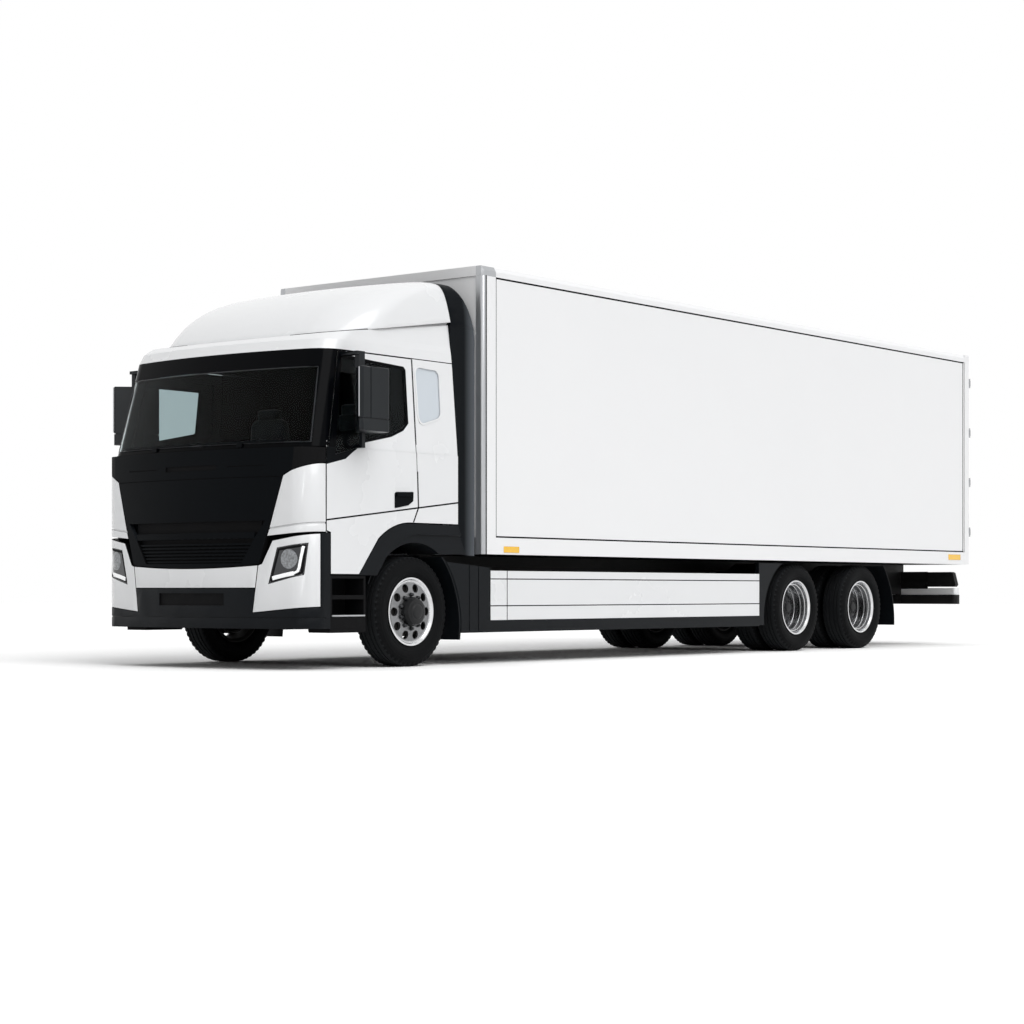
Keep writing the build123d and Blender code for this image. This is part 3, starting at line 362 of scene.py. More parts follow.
# Cab
paint("cab_rear_wall", WHITE, (INSIDE, lambda c, n: n.y < -0.5))
paint("cab_sides", WHITE, (RUBBER_AND_SHADE, side_edge), (INSIDE, side_inner), (RUBBER_AND_SHADE, shaded_crease),
      (INSET, lambda c, n: in_quarter(c) and n.x * c.x > 0.5),
      (WHITE, lambda c, n: in_quarter(c) and side_edge(c, n)))
paint("cab_roof", WHITE, (INSIDE, lambda c, n: n.z < -0.3 or inner(c, n)))
# The fairing's underside is painted black as painted shade in the gap under its overhang
paint("roof_fairing", WHITE, (RUBBER_AND_SHADE, lambda c, n: n.z < -0.6), (DARK, lambda c, n: n.y > 0.5))
paint("gap_fairings", GAP_PANEL)
paint("cab_front", BLACK, (INSIDE, front_inner))
paint("windscreen", GLASS)
# Front panel and grille: recessed faces are painted darker as painted shade and upward faces lighter as
# painted highlight; the panel's edges are dark joints
paint("front_panel", PANEL, (RUBBER_AND_SHADE, lambda c, n: front_edge(c, n) or depth(c) > 0.004),
      (SLATE_HIGHLIGHT, lambda c, n: n.z > 0.6))
paint("grille", PANEL, (RUBBER_AND_SHADE, lambda c, n: depth(c) > 0.026), (SLATE_HIGHLIGHT, lambda c, n: n.z > 0.5))
paint("wipers", PANEL)
for name in ("corner_panels", "bumper_panels"):
    paint(name, WHITE, (RUBBER_AND_SHADE, front_edge), (DARK, front_inner))
# Bumper skirt: the plate recess is painted darker as painted shade, and the tops of the lower lip lighter as
# painted highlight
paint("bumper_skirt", DARK,
      (RUBBER_AND_SHADE, lambda c, n: 0.5 < c.z < 0.66 and abs(c.x) < 0.4 and (front_edge(c, n) or depth(c) > 0.010)),
      (SLATE_HIGHLIGHT, lambda c, n: n.z > 0.6 and c.z < 0.56))
# Wheel arches: upward outer faces are painted lighter as painted highlight, and the step wells darker as
# painted shade
paint("wheel_arches", DARK, (SLATE_HIGHLIGHT, lambda c, n: n.z > 0.3 and n.x * c.x > 0.05 and c.z > 1.0),
      (RUBBER_AND_SHADE, lambda c, n: c.z < 0.79 and c.y < -5.1 + MID))
paint("headlamps", LENS, (RUBBER_AND_SHADE, front_edge))
for name in ("cab_floor", "dashboard"):
    paint(name, INSIDE)
paint("seats", CLOTH)
for side, sign in SIDES:
    paint(f"door_{side}", WHITE, (RUBBER_AND_SHADE, side_edge), (INSIDE, side_inner), (RUBBER_AND_SHADE, shaded_crease))
    paint(f"door_glass_{side}", GLASS)
    paint(f"door_trim_{side}", PANEL, (BLACK, lambda c, n: abs(c.x) < WAIST_X and not 1.3 < c.z < 1.6),
          (CASE, lambda c, n: abs(c.x) > 1.30), (SILVERED, lambda c, n: n.y > 0.7 and abs(c.x) > 1.31))

# Wheels and running gear
for side, sign in SIDES:
    paint(f"knuckle_{side}", CAST)
    paint(f"front_rim_{side}", ALLOY, (CAST, lambda c, n: abs(c.x) < FRONT_DISC_X),
          (DISC, lambda c, n: abs(c.x) > FRONT_DISC_X and off_axle(c, FRONT_AXLE) < FRONT_DISC_R),
          (HUB, lambda c, n: abs(c.x) > FRONT_HUB_X and off_axle(c, FRONT_AXLE) < FRONT_HUB_R))
    for row, axle in TWIN_AXLES.items():
        paint(f"{row}_rims_{side}", ALLOY, (CAST, lambda c, n: abs(c.x) < TWIN_DISC_X),
              (SHADED, lambda c, n, y=axle: abs(c.x) > TWIN_DISC_X and abs(n.x) > 0.8
               and off_axle(c, y) < TWIN_DISC_R),
              (HUB, lambda c, n, y=axle: abs(c.x) > TWIN_HUB_X and off_axle(c, y) < TWIN_HUB_R))
for name in ("axles", "driveline", "springs"):
    paint(name, CAST)
for name in ("chassis_frame", "box_subframe", "rear_bumper"):
    paint(name, CHASSIS)
for name in ("skirt_frames", "mudguards"):
    paint(name, DARK)
paint("tanks", GALVANISED)
paint("bumper_strip", BRIGHT)

# Box and skirts
# Side skirts: the grooves' floors are painted dark as painted shade; the panels' edges are dark joints
paint("side_skirts", WHITE, (RUBBER_AND_SHADE, side_edge), (DARK, side_inner),
      (RUBBER_AND_SHADE, lambda c, n: groove_floor(c, SKIRT_GROOVE_X) and n.x * c.x > 0.0))
paint("box_panels", BOX_WHITE, (LINER, side_inner), (LINER, lambda c, n: n.z < -0.5),
      (RUBBER_AND_SHADE, lambda c, n: abs(c.x) > 1.25 and (side_edge(c, n) or groove_floor(c, WALL_GROOVE_X))))
paint("box_rails", BOX_WHITE,
      (STEEL, lambda c, n: c.y < POST_SEAM_Y - 0.001 or (c.z > RAIL_TOP + 0.001 and c.y < HEAD_END_Y)),
      (RUBBER_AND_SHADE, lambda c, n: abs(c.y - POST_SEAM_Y) < 0.004 and abs(n.y) > 0.5),
      (RUBBER_AND_SHADE, lambda c, n: abs(n.z) > 0.9 and min(abs(c.z - RAIL_TOP), abs(c.z - RAIL_LOW)) < 0.002),
      (BOX_WHITE, lambda c, n: n.y < -0.5 and c.z > 3.45 and abs(c.x) < 1.15))
paint("rear_frame", BOX_WHITE,
      (RUBBER_AND_SHADE, lambda c, n: abs(c.x) < 1.24 and 1.1 < c.z < 3.52 and abs(n.y) < 0.5),
      (GALVANISED, lambda c, n: c.y > BOX_REAR + 0.001))
for side, sign in SIDES:
    paint(f"rear_door_{side}", BOX_WHITE, (LINER, lambda c, n: n.y < -0.5),
          (RUBBER_AND_SHADE, lambda c, n: abs(n.y) < 0.5),
          (GALVANISED, lambda c, n: c.y > BOX_REAR + 0.004 or rod_groove(c)))
paint("box_floor", PLY)
paint("tail_lamps", RED)
paint("marker_lamps", AMBER)


# Tools for new pieces
def piece(name, points, faces, finish, body, slot, replaced=(), angle=40.0):
    mesh = bpy.data.meshes.new(name)
    mesh.from_pydata([tuple(point) for point in points], [], faces)
    mesh.update()
    for face in mesh.polygons:
        face.use_smooth = True
    mesh.set_sharp_from_angle(angle=math.radians(angle))
    for one in finish if isinstance(finish, list) else [finish]:
        mesh.materials.append(one)
    made = bpy.data.objects.new(name, mesh)
    scene.collection.objects.link(made)
    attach(made, body)
    if replaced:
        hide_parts(*replaced)
    return made


def weld(made):
    """Joins equal points and turns all faces outward."""
    shape = bmesh.new()
    shape.from_mesh(made.data)
    bmesh.ops.remove_doubles(shape, verts=shape.verts, dist=1e-6)
    bmesh.ops.recalc_face_normals(shape, faces=shape.faces)
    shape.to_mesh(made.data)
    shape.free()
    made.data.set_sharp_from_angle(angle=math.radians(40.0))


def join(*shells):
    """Puts point and face lists together."""
    points, faces = [], []
    for more, loops in shells:
        start = len(points)
        points += more
        faces += [[start + index for index in loop] for loop in loops]
    return points, faces


def rings(loops, closed=True, capped=False):
    """Skins a list of point rings of equal length."""
    count = len(loops[0])
    points = [point for loop in loops for point in loop]
    faces = []
    for row in range(len(loops) - 1):
        for step in range(count if closed else count - 1):
            follow = (step + 1) % count
            faces.append([row * count + step, row * count + follow,
                          (row + 1) * count + follow, (row + 1) * count + step])
    if capped:
        faces.append(list(range(count))[::-1])
        faces.append([(len(loops) - 1) * count + step for step in range(count)])
    return points, faces


def turns(count):
    """Angles of equal steps round a circle."""
    return [2 * math.pi * step / count for step in range(count)]


def turned(profile, x0, sign, y, z, count, capped=True):
    """A form turned about X, from a profile of (out, radius)."""
    loops = []
    for out, radius in profile:
        loops.append([(x0 + sign * out, y + radius * math.cos(turn), z + radius * math.sin(turn))
                      for turn in turns(count)])
    return rings(loops, capped=capped)


def tube(path, radius, count=10):
    """A round bar along points."""
    spots = [Vector(spot) for spot in path]
    aside = Vector((0.31, 0.22, 0.93))
    loops = []
    for number, spot in enumerate(spots):
        along = (spots[min(len(spots) - 1, number + 1)] - spots[max(0, number - 1)]).normalized()
        one = along.cross(aside).normalized()
        two = along.cross(one)
        loops.append([spot + radius * (one * math.cos(turn) + two * math.sin(turn)) for turn in turns(count)])
    return rings(loops, capped=True)


def across_path(path, number, width):
    """Half a strip's width as a vector square to a flat path."""
    before, after = path[max(0, number - 1)], path[min(len(path) - 1, number + 1)]
    along = Vector((after[0] - before[0], after[1] - before[1])).normalized()
    return Vector((-along.y, along.x)) * width / 2


def tree_of(name):
    """A solid's faces, for rays to meet."""
    thing = nodes[name]
    return BVHTree.FromPolygons([thing.matrix_world @ corner.co for corner in thing.data.vertices],
                                [list(face.vertices) for face in thing.data.polygons])


# Tyres: a tread with four grooves, cut shoulders and ribbed sidewalls. The half section is (across, radius)
# in millimetres, and CUT takes (across, radius) off its shoulder points at every third step
TREAD = [
    (0.0, 479.5), (20.0, 479.3), (22.0, 468.0), (32.0, 468.0), (34.0, 479.0), (62.0, 478.4), (64.0, 467.0),
    (75.0, 467.0), (77.0, 478.0), (100.0, 476.8), (110.0, 475.0), (121.0, 463.0), (126.0, 454.0),
    (130.5, 441.0), (133.0, 430.0), (135.6, 427.0), (136.6, 420.0), (135.6, 413.0), (137.4, 409.0),
    (137.6, 392.0), (136.6, 372.0), (133.0, 355.0), (131.0, 351.0), (131.4, 345.0), (127.0, 339.0),
    (118.0, 322.0), (109.0, 309.0), (105.6, 304.0), (105.2, 297.5),
]
CUT = {9: (1.0, 5.0), 10: (2.0, 8.0), 11: (4.0, 9.0), 12: (4.0, 7.0), 13: (2.0, 3.0)}
TREAD_STEPS = 156
WORN_R = 0.4665
MM = 1000.0


def tyre(centre_x, axle_y):
    loops = []
    for step, turn in enumerate(turns(TREAD_STEPS)):
        loop = []
        for side in (-1, 1):
            order = range(len(TREAD) - 1, -1, -1) if side < 0 else range(1, len(TREAD))
            for index in order:
                across, radius = TREAD[index]
                if index in CUT and (step + (1 if side < 0 else 0)) % 3 == 0:
                    across -= CUT[index][0]
                    radius -= CUT[index][1]
                loop.append((centre_x + side * across / MM, axle_y + radius / MM * math.cos(turn),
                             WHEEL_Z + radius / MM * math.sin(turn)))
        loops.append(loop)
    return rings(loops + loops[:1], closed=False)


def wear(made, axle_y):
    """Greys the parts of a tread that touch the road."""
    for face in made.data.polygons:
        if off_axle(face.center, axle_y) > WORN_R:
            face.material_index = 1


for side, sign in SIDES:
    tread = piece(f"front_tread_{side}", *tyre(sign * FRONT_TRACK, FRONT_AXLE), [TYRE, WORN],
                  f"front_wheel_{side}", "tyre_black", [f"front_tyre_{side}"])
    weld(tread)
    wear(tread, FRONT_AXLE)
    for row, axle in TWIN_AXLES.items():
        twins = [tyre(sign * (TWIN_TRACK + shift), axle) for shift in (-TWIN_OFFSET, TWIN_OFFSET)]
        tread = piece(f"{row}_treads_{side}", *join(*twins), [TYRE, WORN], f"{row}_wheels_{side}",
                      "tyre_black", [f"{row}_tyres_{side}"])
        weld(tread)
        wear(tread, axle)

# Wheels: nuts with washers, hub caps, and ledges inside the rear rims, as profiles of (out, radius)
NUT = [(-0.002, 0.021), (0.003, 0.021), (0.004, 0.0165), (0.021, 0.0165), (0.024, 0.013), (0.030, 0.011),
       (0.032, 0.006)]
CAP = [(-0.003, 0.088), (0.002, 0.088), (0.004, 0.083), (0.004, 0.066), (0.008, 0.062), (0.011, 0.050),
       (0.012, 0.020)]
TWIN_CAP = [(0.0, 0.052), (0.010, 0.050), (0.013, 0.030)]
STUD = [(0.0, 0.009), (0.008, 0.009), (0.010, 0.006)]
LEDGE = [(-0.006, 0.2585), (-0.004, 0.252), (0.004, 0.252), (0.006, 0.2585)]
LEDGES_OUT = (0.09, 0.17, 0.225)
BOLTS = 10
HEXAGON = 6
FRONT_BOLT_R = 0.1485
TWIN_BOLT_R = 0.150
STUD_R = 0.066


def bolted(profile, x0, sign, axle_y, radius, start):
    """Turned hexagons on a wheel's bolt circle."""
    made = []
    for number in range(BOLTS):
        turn = math.radians(360.0 / BOLTS * number + start)
        made.append(turned(profile, x0, sign, axle_y + radius * math.cos(turn),
                           WHEEL_Z + radius * math.sin(turn), HEXAGON))
    return made


def ledge(out, sign, axle_y):
    profile = [(out + shift, radius) for shift, radius in LEDGE]
    return turned(profile, sign * TWIN_TRACK, sign, axle_y, WHEEL_Z, 96, capped=False)


for side, sign in SIDES:
    nuts = bolted(NUT, sign * FRONT_NUT_X, sign, FRONT_AXLE, FRONT_BOLT_R, 18.0)
    weld(piece(f"front_nuts_{side}", *join(*nuts), SHADED, f"front_wheel_{side}", "rim_alloy"))
    cap = turned(CAP, sign * FRONT_CAP_X, sign, FRONT_AXLE, WHEEL_Z, 40)
    weld(piece(f"front_hub_{side}", *cap, HUB, f"front_wheel_{side}", "chassis_dark"))
    for row, axle in TWIN_AXLES.items():
        nuts = bolted(NUT, sign * TWIN_NUT_X, sign, axle, TWIN_BOLT_R, 18.0)
        weld(piece(f"{row}_nuts_{side}", *join(*nuts), CHROME, f"{row}_wheels_{side}", "rim_alloy"))
        ledges = [ledge(out, sign, axle) for out in LEDGES_OUT]
        weld(piece(f"{row}_ledges_{side}", *join(*ledges), ALLOY, f"{row}_wheels_{side}", "rim_alloy"))
        cap = turned(TWIN_CAP, sign * TWIN_CAP_X, sign, axle, WHEEL_Z, 32)
        studs = bolted(STUD, sign * TWIN_CAP_X, sign, axle, STUD_R, 0.0)
        weld(piece(f"{row}_hub_{side}", *join(cap, *studs), HUB, f"{row}_wheels_{side}", "chassis_dark"))

# Headlamps: a light strip along the outer and lower edges, and a round lens, in (x, z) on the lamp's face
LAMP_STRIP = [(1.172, 1.030), (1.158, 0.950), (1.142, 0.850), (1.132, 0.822), (1.104, 0.806)]
LAMP_FOOT = [(1.104, 0.806), (1.000, 0.786), (0.900, 0.764)]
LAMP_EDGE = [(0.884, 0.742), (0.962, 1.003), (1.182, 1.036), (1.161, 0.810), (0.884, 0.742)]
STRIP_LIFT = 0.004
STRIP_FOOT_LIFT = 0.0003
EYE = (1.056, 0.925)
EYE_PROFILE = [(0.082, 0.0006), (0.070, 0.0024), (0.050, 0.0044), (0.030, 0.0058), (0.012, 0.0064),
               (0.003, 0.0066)]
EYE_SQUEEZE = 0.92
BACKWARD = Vector((0.0, 1.0, 0.0))
lamp_tree = tree_of("headlamps")


def on_lamp(x, z, lift):
    """A place on the lamp's face, or on the nearest part of it."""
    spot, normal, _, _ = lamp_tree.ray_cast(Vector((x, AHEAD_Y, z)), BACKWARD)
    if spot is None:
        spot, normal, _, _ = lamp_tree.find_nearest(Vector((x, -5.9, z)))
    return spot + normal * lift


def bead(path, width, lift, sign, steps=14):
    """A raised strip along (x, z) points on the lamp's face."""
    spots = []
    for (x0, z0), (x1, z1) in zip(path, path[1:]):
        for step in range(steps):
            share = step / steps
            spots.append((x0 + (x1 - x0) * share, z0 + (z1 - z0) * share))
    spots.append(path[-1])
    section = ((-1.0, STRIP_FOOT_LIFT), (-0.85, lift * 0.7), (0.0, lift), (0.85, lift * 0.7),
               (1.0, STRIP_FOOT_LIFT))
    loops = []
    for number, (x, z) in enumerate(spots):
        across = across_path(spots, number, width)
        loops.append([on_lamp(sign * (x + across.x * share), z + across.y * share, up)
                      for share, up in section])
    return rings(loops, closed=False)


def round_lens(x, z, profile, sign, count=36):
    loops = []
    for radius, lift in profile:
        loops.append([on_lamp(sign * (x + radius * EYE_SQUEEZE * math.cos(turn)), z + radius * math.sin(turn),
                              lift) for turn in turns(count)])
    points, faces = rings(loops)
    last = (len(loops) - 1) * count
    faces.append([last + step for step in range(count)])
    return points, faces


for side, sign in SIDES:
    strip = join(bead(LAMP_STRIP, 0.020, STRIP_LIFT, sign), bead(LAMP_FOOT, 0.036, STRIP_LIFT, sign))
    weld(piece(f"lamp_strip_{side}", *strip, LED, "truck", "lamp_clear"))
    eye = round_lens(*EYE, EYE_PROFILE, sign)
    weld(piece(f"lamp_eye_{side}", *eye, PROJECTOR, "truck", "lamp_clear"))

# Soft edges on the panels, by width
SOFT = {
    0.003: ["side_skirts", "cab_sides", "door_left", "door_right", "corner_panels", "bumper_panels"],
    0.006: ["bumper_skirt", "wheel_arches", "door_trim_left", "door_trim_right", "rear_bumper",
            "bumper_strip", "gap_fairings", "tail_lamps", "marker_lamps"],
    0.008: ["box_rails", "rear_frame", "roof_fairing"],
}


def soften(name, width):
    thing = nodes[name]
    thing.modifiers.new("weld", "WELD").merge_threshold = 1e-5
    bevel = thing.modifiers.new("bevel", "BEVEL")
    bevel.width = width
    bevel.segments = 2
    bevel.limit_method = "ANGLE"
    bevel.angle_limit = math.radians(40.0)
    bevel.harden_normals = True


for width, names in SOFT.items():
    for name in names:
        soften(name, width)

# Cab sides: door seals, quarter window frames, door cards, a painted highlight strip on each mirror's edge,
# step edges, with outlines in (y, z)
WINDOW = [(-5.530, 1.800), (-5.318, 1.850), (-5.160, 1.938), (-4.810, 2.008), (-4.665, 2.066),
          (-4.604, 2.125), (-4.612, 2.570), (-4.630, 2.584), (-5.060, 2.602), (-5.400, 2.628)]
VIEW = [(-5.451, 1.990), (-4.796, 2.118), (-4.771, 2.500), (-5.403, 2.500)]
WINDOW_CENTRE = Vector((-5.10, 2.28))
CARD_DEPTHS = (0.022, 0.040)
QUARTER = [(-4.440, 2.108), (-4.140, 2.188), (-4.140, 2.606), (-4.462, 2.618)]
QUARTER_CENTRE = Vector((-4.295, 2.385))
FRAME_OUT = 0.004
DOOR_SEAM = [(-4.532, 1.256), (-4.465, 1.386), (-4.477, 1.680), (-4.489, 1.974), (-4.495, 2.679)]
# A bright tube on the mirror housing's front edge is a painted highlight
MIRROR_GLINT = [(1.5085, -5.5215 + MID, 2.105), (1.5085, -5.5215 + MID, 2.515)]
STEP_EDGE = [(1.246, -5.570 + MID, 0.452), (1.246, -5.165 + MID, 0.452)]


def mirrored(path, sign):
    """Points given for the left side, on either side."""
    return [(sign * x, y, z) for x, y, z in path]


def seal(path, width, lift, sign):
    """A flat strip on the cab's side along (y, z) points."""
    loops = []
    for number, (y, z) in enumerate(path):
        across = across_path(path, number, width)
        loops.append([(sign * (skin_x(z) + up), y + across.x * share + MID, z + across.y * share)
                      for share, up in ((-1.0, -0.002), (-0.9, lift), (0.9, lift), (1.0, -0.002))])
    return rings(loops, closed=False)


def reach(outline, centre, turn):
    """Distance from a centre to a star-shaped outline at an angle."""
    way = Vector((math.cos(turn), math.sin(turn)))
    best = 9.0
    for one, two in zip(outline, outline[1:] + outline[:1]):
        start = Vector(one) - centre
        edge = Vector(two) - Vector(one)
        cross = way.x * edge.y - way.y * edge.x
        if abs(cross) > 1e-9:
            far = (start.x * edge.y - start.y * edge.x) / cross
            share = (start.x * way.y - start.y * way.x) / cross
            if far > 0.0 and -1e-6 <= share <= 1.000001:
                best = min(best, far)
    return best


def quarter_frame(count=72):
    """The quarter window's outline with its corners eased."""
    far = [reach(QUARTER, QUARTER_CENTRE, turn) for turn in turns(count)]
    path = []
    for number, turn in enumerate(turns(count)):
        eased = sum(far[(number + shift) % count] for shift in (-2, -1, 0, 1, 2)) / 5 + FRAME_OUT
        path.append((QUARTER_CENTRE.x + eased * math.cos(turn), QUARTER_CENTRE.y + eased * math.sin(turn)))
    return path + path[:1]


def door_card(sign, count=96):
    """A frame inside the door, from the window opening in to the part that can be seen through."""
    near, deep = CARD_DEPTHS
    loops = []
    for turn in turns(count):
        loop = []
        for outline, inset in ((WINDOW, near), (VIEW, near), (VIEW, deep), (WINDOW, deep)):
            way = Vector((math.cos(turn), math.sin(turn)))
            spot = WINDOW_CENTRE + reach(outline, WINDOW_CENTRE, turn) * way
            loop.append((sign * (skin_x(spot.y) - inset), spot.x + MID, spot.y))
        loops.append(loop)
    return rings(loops + loops[:1])


for side, sign in SIDES:
    weld(piece(f"door_seal_{side}", *seal(DOOR_SEAM, 0.009, 0.0008, sign), RUBBER_AND_SHADE, "truck", "black_satin"))
    weld(piece(f"quarter_frame_{side}", *seal(quarter_frame(), 0.020, 0.005, sign), WHITE, "truck",
               "cab_white"))
    weld(piece(f"door_card_{side}", *door_card(sign), INSIDE, f"cab_door_{side}", "dark_plastic"))
    # Painted highlight along the mirror's edge
    weld(piece(f"mirror_glint_{side}", *tube(mirrored(MIRROR_GLINT, sign), 0.005), STEEL, f"cab_door_{side}",
               "black_satin"))
    weld(piece(f"step_edge_{side}", *tube(mirrored(STEP_EDGE, sign), 0.008), STEEL, "truck", "aluminium"))

# Beads under the roof fairing and round the windscreen
FOOT_CENTRE = Vector((0.0, -4.55 + MID, 4.0))
FOOT_TURN = 104.0
SCREEN_EDGE = [(1.176, 1.896), (1.124, 2.532), (-1.124, 2.532), (-1.176, 1.896)]
SCREEN_STEPS = 24


def fairing_foot(count=96):
    """Places where the fairing meets the roof, found from above along rays out of the cab's middle."""
    fairing, roof = tree_of("roof_fairing"), tree_of("cab_roof")
    down = Vector((0.0, 0.0, -1.0))
    spots = []
    for number in range(count + 1):
        turn = math.radians(-FOOT_TURN + 2 * FOOT_TURN * number / count)
        way = Vector((math.sin(turn), -math.cos(turn), 0.0))
        near, far = 0.2, 1.9
        for _ in range(18):
            middle = (near + far) / 2.0
            start = FOOT_CENTRE + way * middle
            top = fairing.ray_cast(start, down)[0]
            under = roof.ray_cast(start, down)[0]
            if top is not None and (under is None or top.z > under.z):
                near = middle
            else:
                far = middle
        ground = roof.ray_cast(FOOT_CENTRE + way * near + way * 0.003, down)[0]
        if ground is not None:
            spots.append(ground + Vector((0.0, 0.0, 0.002)))
    top = max(spot.z for spot in spots)
    return [spot for spot in spots if spot.z > top - 0.05]


def screen_ring():
    """Places just ahead of the glass along the windscreen's edge."""
    screen = tree_of("windscreen")
    ring = []
    for (x0, z0), (x1, z1) in zip(SCREEN_EDGE, SCREEN_EDGE[1:] + SCREEN_EDGE[:1]):
        for step in range(SCREEN_STEPS):
            share = step / SCREEN_STEPS
            start = Vector((x0 + (x1 - x0) * share, AHEAD_Y, z0 + (z1 - z0) * share))
            spot = screen.ray_cast(start, BACKWARD)[0]
            if spot is not None:
                ring.append(spot + Vector((0.0, -0.001, 0.0)))
    return ring + ring[:1]


weld(piece("fairing_bead", *tube(fairing_foot(), 0.006, 8), RUBBER_AND_SHADE, "truck", "black_satin"))
# The windscreen's seal bead is lighter than the black round it: painted highlight
weld(piece("screen_bead", *tube(screen_ring(), 0.005, 8), SLATE_HIGHLIGHT, "truck", "black_satin"))


# Plates with pressed ribs: behind the steps, and inboard of the tail lamps
def ribbed(x, y0, y1, z0, z1, count, rise):
    """A sheet across Y with ribs along it."""
    loops = []
    for step in range(count * 4 + 1):
        z = z0 + (z1 - z0) * step / (count * 4)
        out = rise if step % 4 in (1, 2) else 0.0
        loops.append([(x + out, y0, z), (x + out, y1, z), (x - 0.004, y1, z), (x - 0.004, y0, z)])
    return rings(loops, capped=True)


CARRIER_Y = 5.869 + MID
for side, sign in SIDES:
    plate, faces = ribbed(0.994, -5.585 + MID, -5.152 + MID, 0.32, 0.786, 6, 0.004)
    weld(piece(f"step_back_{side}", mirrored(plate, sign), faces, RUBBER_AND_SHADE, "truck", "dark_plastic"))
    plate, faces = ribbed(0.0, 0.40, 0.80, 0.690, 0.905, 5, 0.006)
    carrier = [(sign * y, CARRIER_Y + x, z) for x, y, z in plate]
    weld(piece(f"lamp_carrier_{side}", carrier, faces, CHASSIS, "truck", "chassis_dark"))

# Seals: round the headlamps, in the side walls' borders and along the corner posts
UPRIGHT_HALF = 0.009
LEVEL_HALF = 0.0045
SEAL_FOOT_X = 1.2690
WALL_SEAL_X = 1.2708
POST_SEAL_X = 1.2756
WALL_SEALS = [
    # low Y, high Y, low Z, high Z, half width, half width of the box at the seal's top
    (WALL_Y[0], WALL_Y[0], *WALL_Z, UPRIGHT_HALF, WALL_SEAL_X),
    (*WALL_Y, WALL_Z[1], WALL_Z[1], LEVEL_HALF, WALL_SEAL_X),
    (WALL_Y[1], WALL_Y[1], *WALL_Z, UPRIGHT_HALF, WALL_SEAL_X),
    (*WALL_Y, WALL_Z[0], WALL_Z[0], LEVEL_HALF, WALL_SEAL_X),
    (POST_Y, POST_Y, 1.0, 3.505, UPRIGHT_HALF, POST_SEAL_X),
]


def wall_seal(y0, y1, z0, z1, half, top_x, sign):
    """A raised strip on the side of the box, a little narrower at its top."""
    loops = []
    for x, grow in ((SEAL_FOOT_X, half), (top_x, half - 0.001)):
        low_y, high_y, low_z, high_z = y0 - grow, y1 + grow, z0 - grow, z1 + grow
        corners = [(low_y, low_z), (high_y, low_z), (high_y, high_z), (low_y, high_z)]
        loops.append([(sign * x, y + MID, z) for y, z in corners])
    return rings(loops, capped=True)


for side, sign in SIDES:
    weld(piece(f"lamp_border_{side}", *bead(LAMP_EDGE, 0.020, 0.0022, sign), RUBBER_AND_SHADE, "truck", "black_satin"))
    seals = [wall_seal(*row, sign) for row in WALL_SEALS]
    weld(piece(f"box_seals_{side}", *join(*seals), RUBBER_AND_SHADE, "truck", "black_satin"))

# Seats: crowned cushions with sewn channels
CUSHION_CUTS = 14
ROUNDNESS = 5
PULL_IN = 0.045
CHANNEL_DEPTH = 0.012
CHANNEL_WIDTH = 0.07
SEAT_X = 0.52
SEAT_Y = -4.70 + MID
BACK_Y = -4.505 + MID


def cushion(centre, half, lean=0.0, crown=0.02, channels=(-0.36, 0.36)):
    """A closed rounded block that can swell on top and have channels along it."""
    grid = [-1.0 + 2.0 * step / CUSHION_CUTS for step in range(CUSHION_CUTS + 1)]
    spots = {}
    points, faces = [], []

    def spot(u, v, w):
        key = (round(u, 4), round(v, 4), round(w, 4))
        if key not in spots:
            power = (abs(u) ** ROUNDNESS + abs(v) ** ROUNDNESS + abs(w) ** ROUNDNESS) ** (1 / ROUNDNESS)
            scale = max(abs(u), abs(v), abs(w)) / power
            x, y, z = u * scale, v * scale, w * scale
            pull = 1.0 - PULL_IN * (1.0 - v * v) * abs(u) ** 3
            rise = crown * (1.0 - u * u) * (1.0 - v * v)
            for line in channels:
                dip = math.exp(-((u - line) / CHANNEL_WIDTH) ** 2)
                rise -= CHANNEL_DEPTH * dip * (1.0 - abs(v) ** 6)
            spots[key] = len(points)
            points.append(Vector((x * half[0] * pull, y * half[1], z * half[2] + (rise if w > 0 else 0.0))))
        return spots[key]

    for axis in range(3):
        for end in (-1.0, 1.0):
            for one in range(CUSHION_CUTS):
                for two in range(CUSHION_CUTS):
                    loop = []
                    for a, b in ((one, two), (one + 1, two), (one + 1, two + 1), (one, two + 1)):
                        place = [grid[a], grid[b]]
                        place.insert(axis, end)
                        loop.append(spot(*place))
                    faces.append(loop)
    move = Matrix.Translation(centre) @ Matrix.Rotation(math.radians(lean), 4, "X")
    return [move @ point for point in points], faces


def block(centre, half):
    """A plain rounded block."""
    return cushion(Vector(centre), half, crown=0.0, channels=())


for side, sign in SIDES:
    x = SEAT_X * sign
    base = cushion(Vector((x, SEAT_Y, 1.575)), (0.232, 0.25, 0.075))
    back = cushion(Vector((x, BACK_Y, 1.94)), (0.226, 0.30, 0.055), lean=90.0)
    rest = cushion(Vector((x, BACK_Y, 2.275)), (0.13, 0.05, 0.05), lean=90.0, crown=0.01, channels=())
    plinth = block((x, SEAT_Y, 1.37), (0.20, 0.22, 0.13))
    seat = piece(f"seat_{side}", *join(base, back, rest, plinth), CLOTH, "truck", "seat_cloth",
                 ["seats"] if side == "left" else ())
    weld(seat)

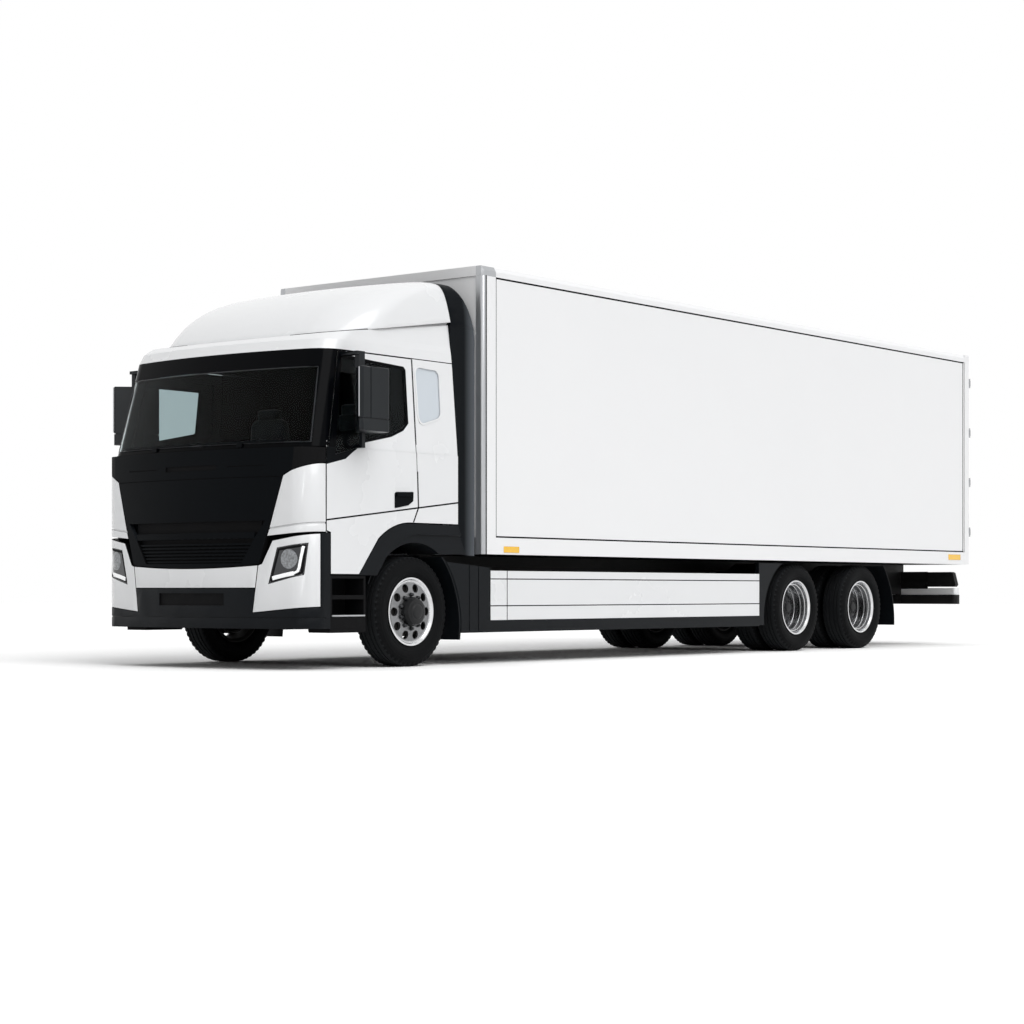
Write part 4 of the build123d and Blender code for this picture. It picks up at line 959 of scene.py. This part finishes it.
# Rear: lock levers with catches, and lens segments on the lamps
LEVER_Y = BOX_REAR + 0.0115
LEVER_R = 0.0065
LEVERS = ((LOCK_RODS[0], 0.50, 1.33), (LOCK_RODS[1], 0.62, 1.45))
BENDS = ((0.0, -0.007, 0.0), (0.12, 0.0, 0.0), (0.8, 0.0, -0.012), (1.0, 0.0, -0.034))
CATCH_AT = 0.7
CATCH_HALF = (0.026, 0.009, 0.038)
SEGMENTS = (("stop", 1.068, RED), ("turn", 0.958, AMBER), ("reverse", 0.850, LED))
SEGMENT_Y = 5.972 + MID
SEGMENT_Z = 0.8075
SEGMENT_HALF = (0.049, 0.007, 0.058)
for side, sign in SIDES:
    levers = []
    for rod_x, end_x, z in LEVERS:
        long = end_x - rod_x
        path = [(sign * (rod_x + long * part), LEVER_Y + lift, z + drop) for part, lift, drop in BENDS]
        levers.append(tube(path, LEVER_R))
        levers.append(block((sign * (rod_x + long * CATCH_AT), BOX_REAR + 0.004, z - 0.004), CATCH_HALF))
    weld(piece(f"lock_levers_{side}", *join(*levers), GALVANISED, f"rear_leaf_{side}", "aluminium"))
    for name, x, finish in SEGMENTS:
        lens = block((sign * x, SEGMENT_Y, SEGMENT_Z), SEGMENT_HALF)
        weld(piece(f"{name}_lens_{side}", *lens, finish, "truck", "lamp_red"))

# Floor and light
FLOOR_SIZE = 160.0
FLOOR_TONE = (0.78, 0.78, 0.78)
FLOOR_SEEN = (1.05, 1.05, 1.05)
SKY_LOW = 0.10
SKY_HIGH = 0.95
SUN_FROM = Vector((0.70, -0.14, 0.70))
STRIP_AT = Vector((8.5, -17.7, 4.0))
STRIP_AIM = Vector((1.1, -5.8, 2.2))


def seen(tree):
    """1 for rays that come from the camera, off a glossy surface or through glass."""
    path = node(tree, "LightPath")
    direct = combine(tree, "MAXIMUM", path.outputs["Is Camera Ray"], path.outputs["Is Glossy Ray"])
    return combine(tree, "MAXIMUM", direct, path.outputs["Is Transmission Ray"])


def add_floor():
    bpy.ops.mesh.primitive_plane_add(size=FLOOR_SIZE)
    floor = bpy.context.object
    floor.name = "floor"
    made = bpy.data.materials.new("floor_white")
    made.use_nodes = True
    tree = made.node_tree
    tree.nodes.clear()
    output = node(tree, "OutputMaterial")
    matt = node(tree, "BsdfDiffuse")
    tree.links.new(mix_colours(tree, seen(tree), FLOOR_TONE, FLOOR_SEEN), matt.inputs["Color"])
    tree.links.new(matt.outputs[0], output.inputs["Surface"])
    floor.data.materials.append(made)


def add_world():
    world = bpy.data.worlds.new("studio")
    scene.world = world
    world.use_nodes = True
    tree = world.node_tree
    shade = tree.nodes["Background"]
    shade.inputs["Color"].default_value = (1.0, 1.0, 1.0, 1.0)
    place = node(tree, "TexCoord").outputs["Generated"]
    mix = node(tree, "Mix", B=1.0)
    tree.links.new(run_along(tree, place, "Z", 0.0, 1.0, SKY_LOW, SKY_HIGH), mix.inputs["A"])
    tree.links.new(seen(tree), mix.inputs["Factor"])
    tree.links.new(mix.outputs["Result"], shade.inputs["Strength"])


def add_lights():
    sun = bpy.data.lights.new("soft_sun", "SUN")
    sun.energy = 1.75
    sun.angle = math.radians(50.0)
    lamp = bpy.data.objects.new("soft_sun", sun)
    scene.collection.objects.link(lamp)
    lamp.rotation_euler = SUN_FROM.to_track_quat("Z", "Y").to_euler()

    strip = bpy.data.lights.new("strip_light", "AREA")
    strip.shape = "RECTANGLE"
    strip.size = 1.0
    strip.size_y = 7.0
    strip.energy = 130.0
    lamp = bpy.data.objects.new("strip_light", strip)
    scene.collection.objects.link(lamp)
    lamp.location = STRIP_AT
    lamp.rotation_euler = (STRIP_AT - STRIP_AIM).to_track_quat("Z", "Y").to_euler()


add_camera()
add_floor()
add_world()
add_lights()
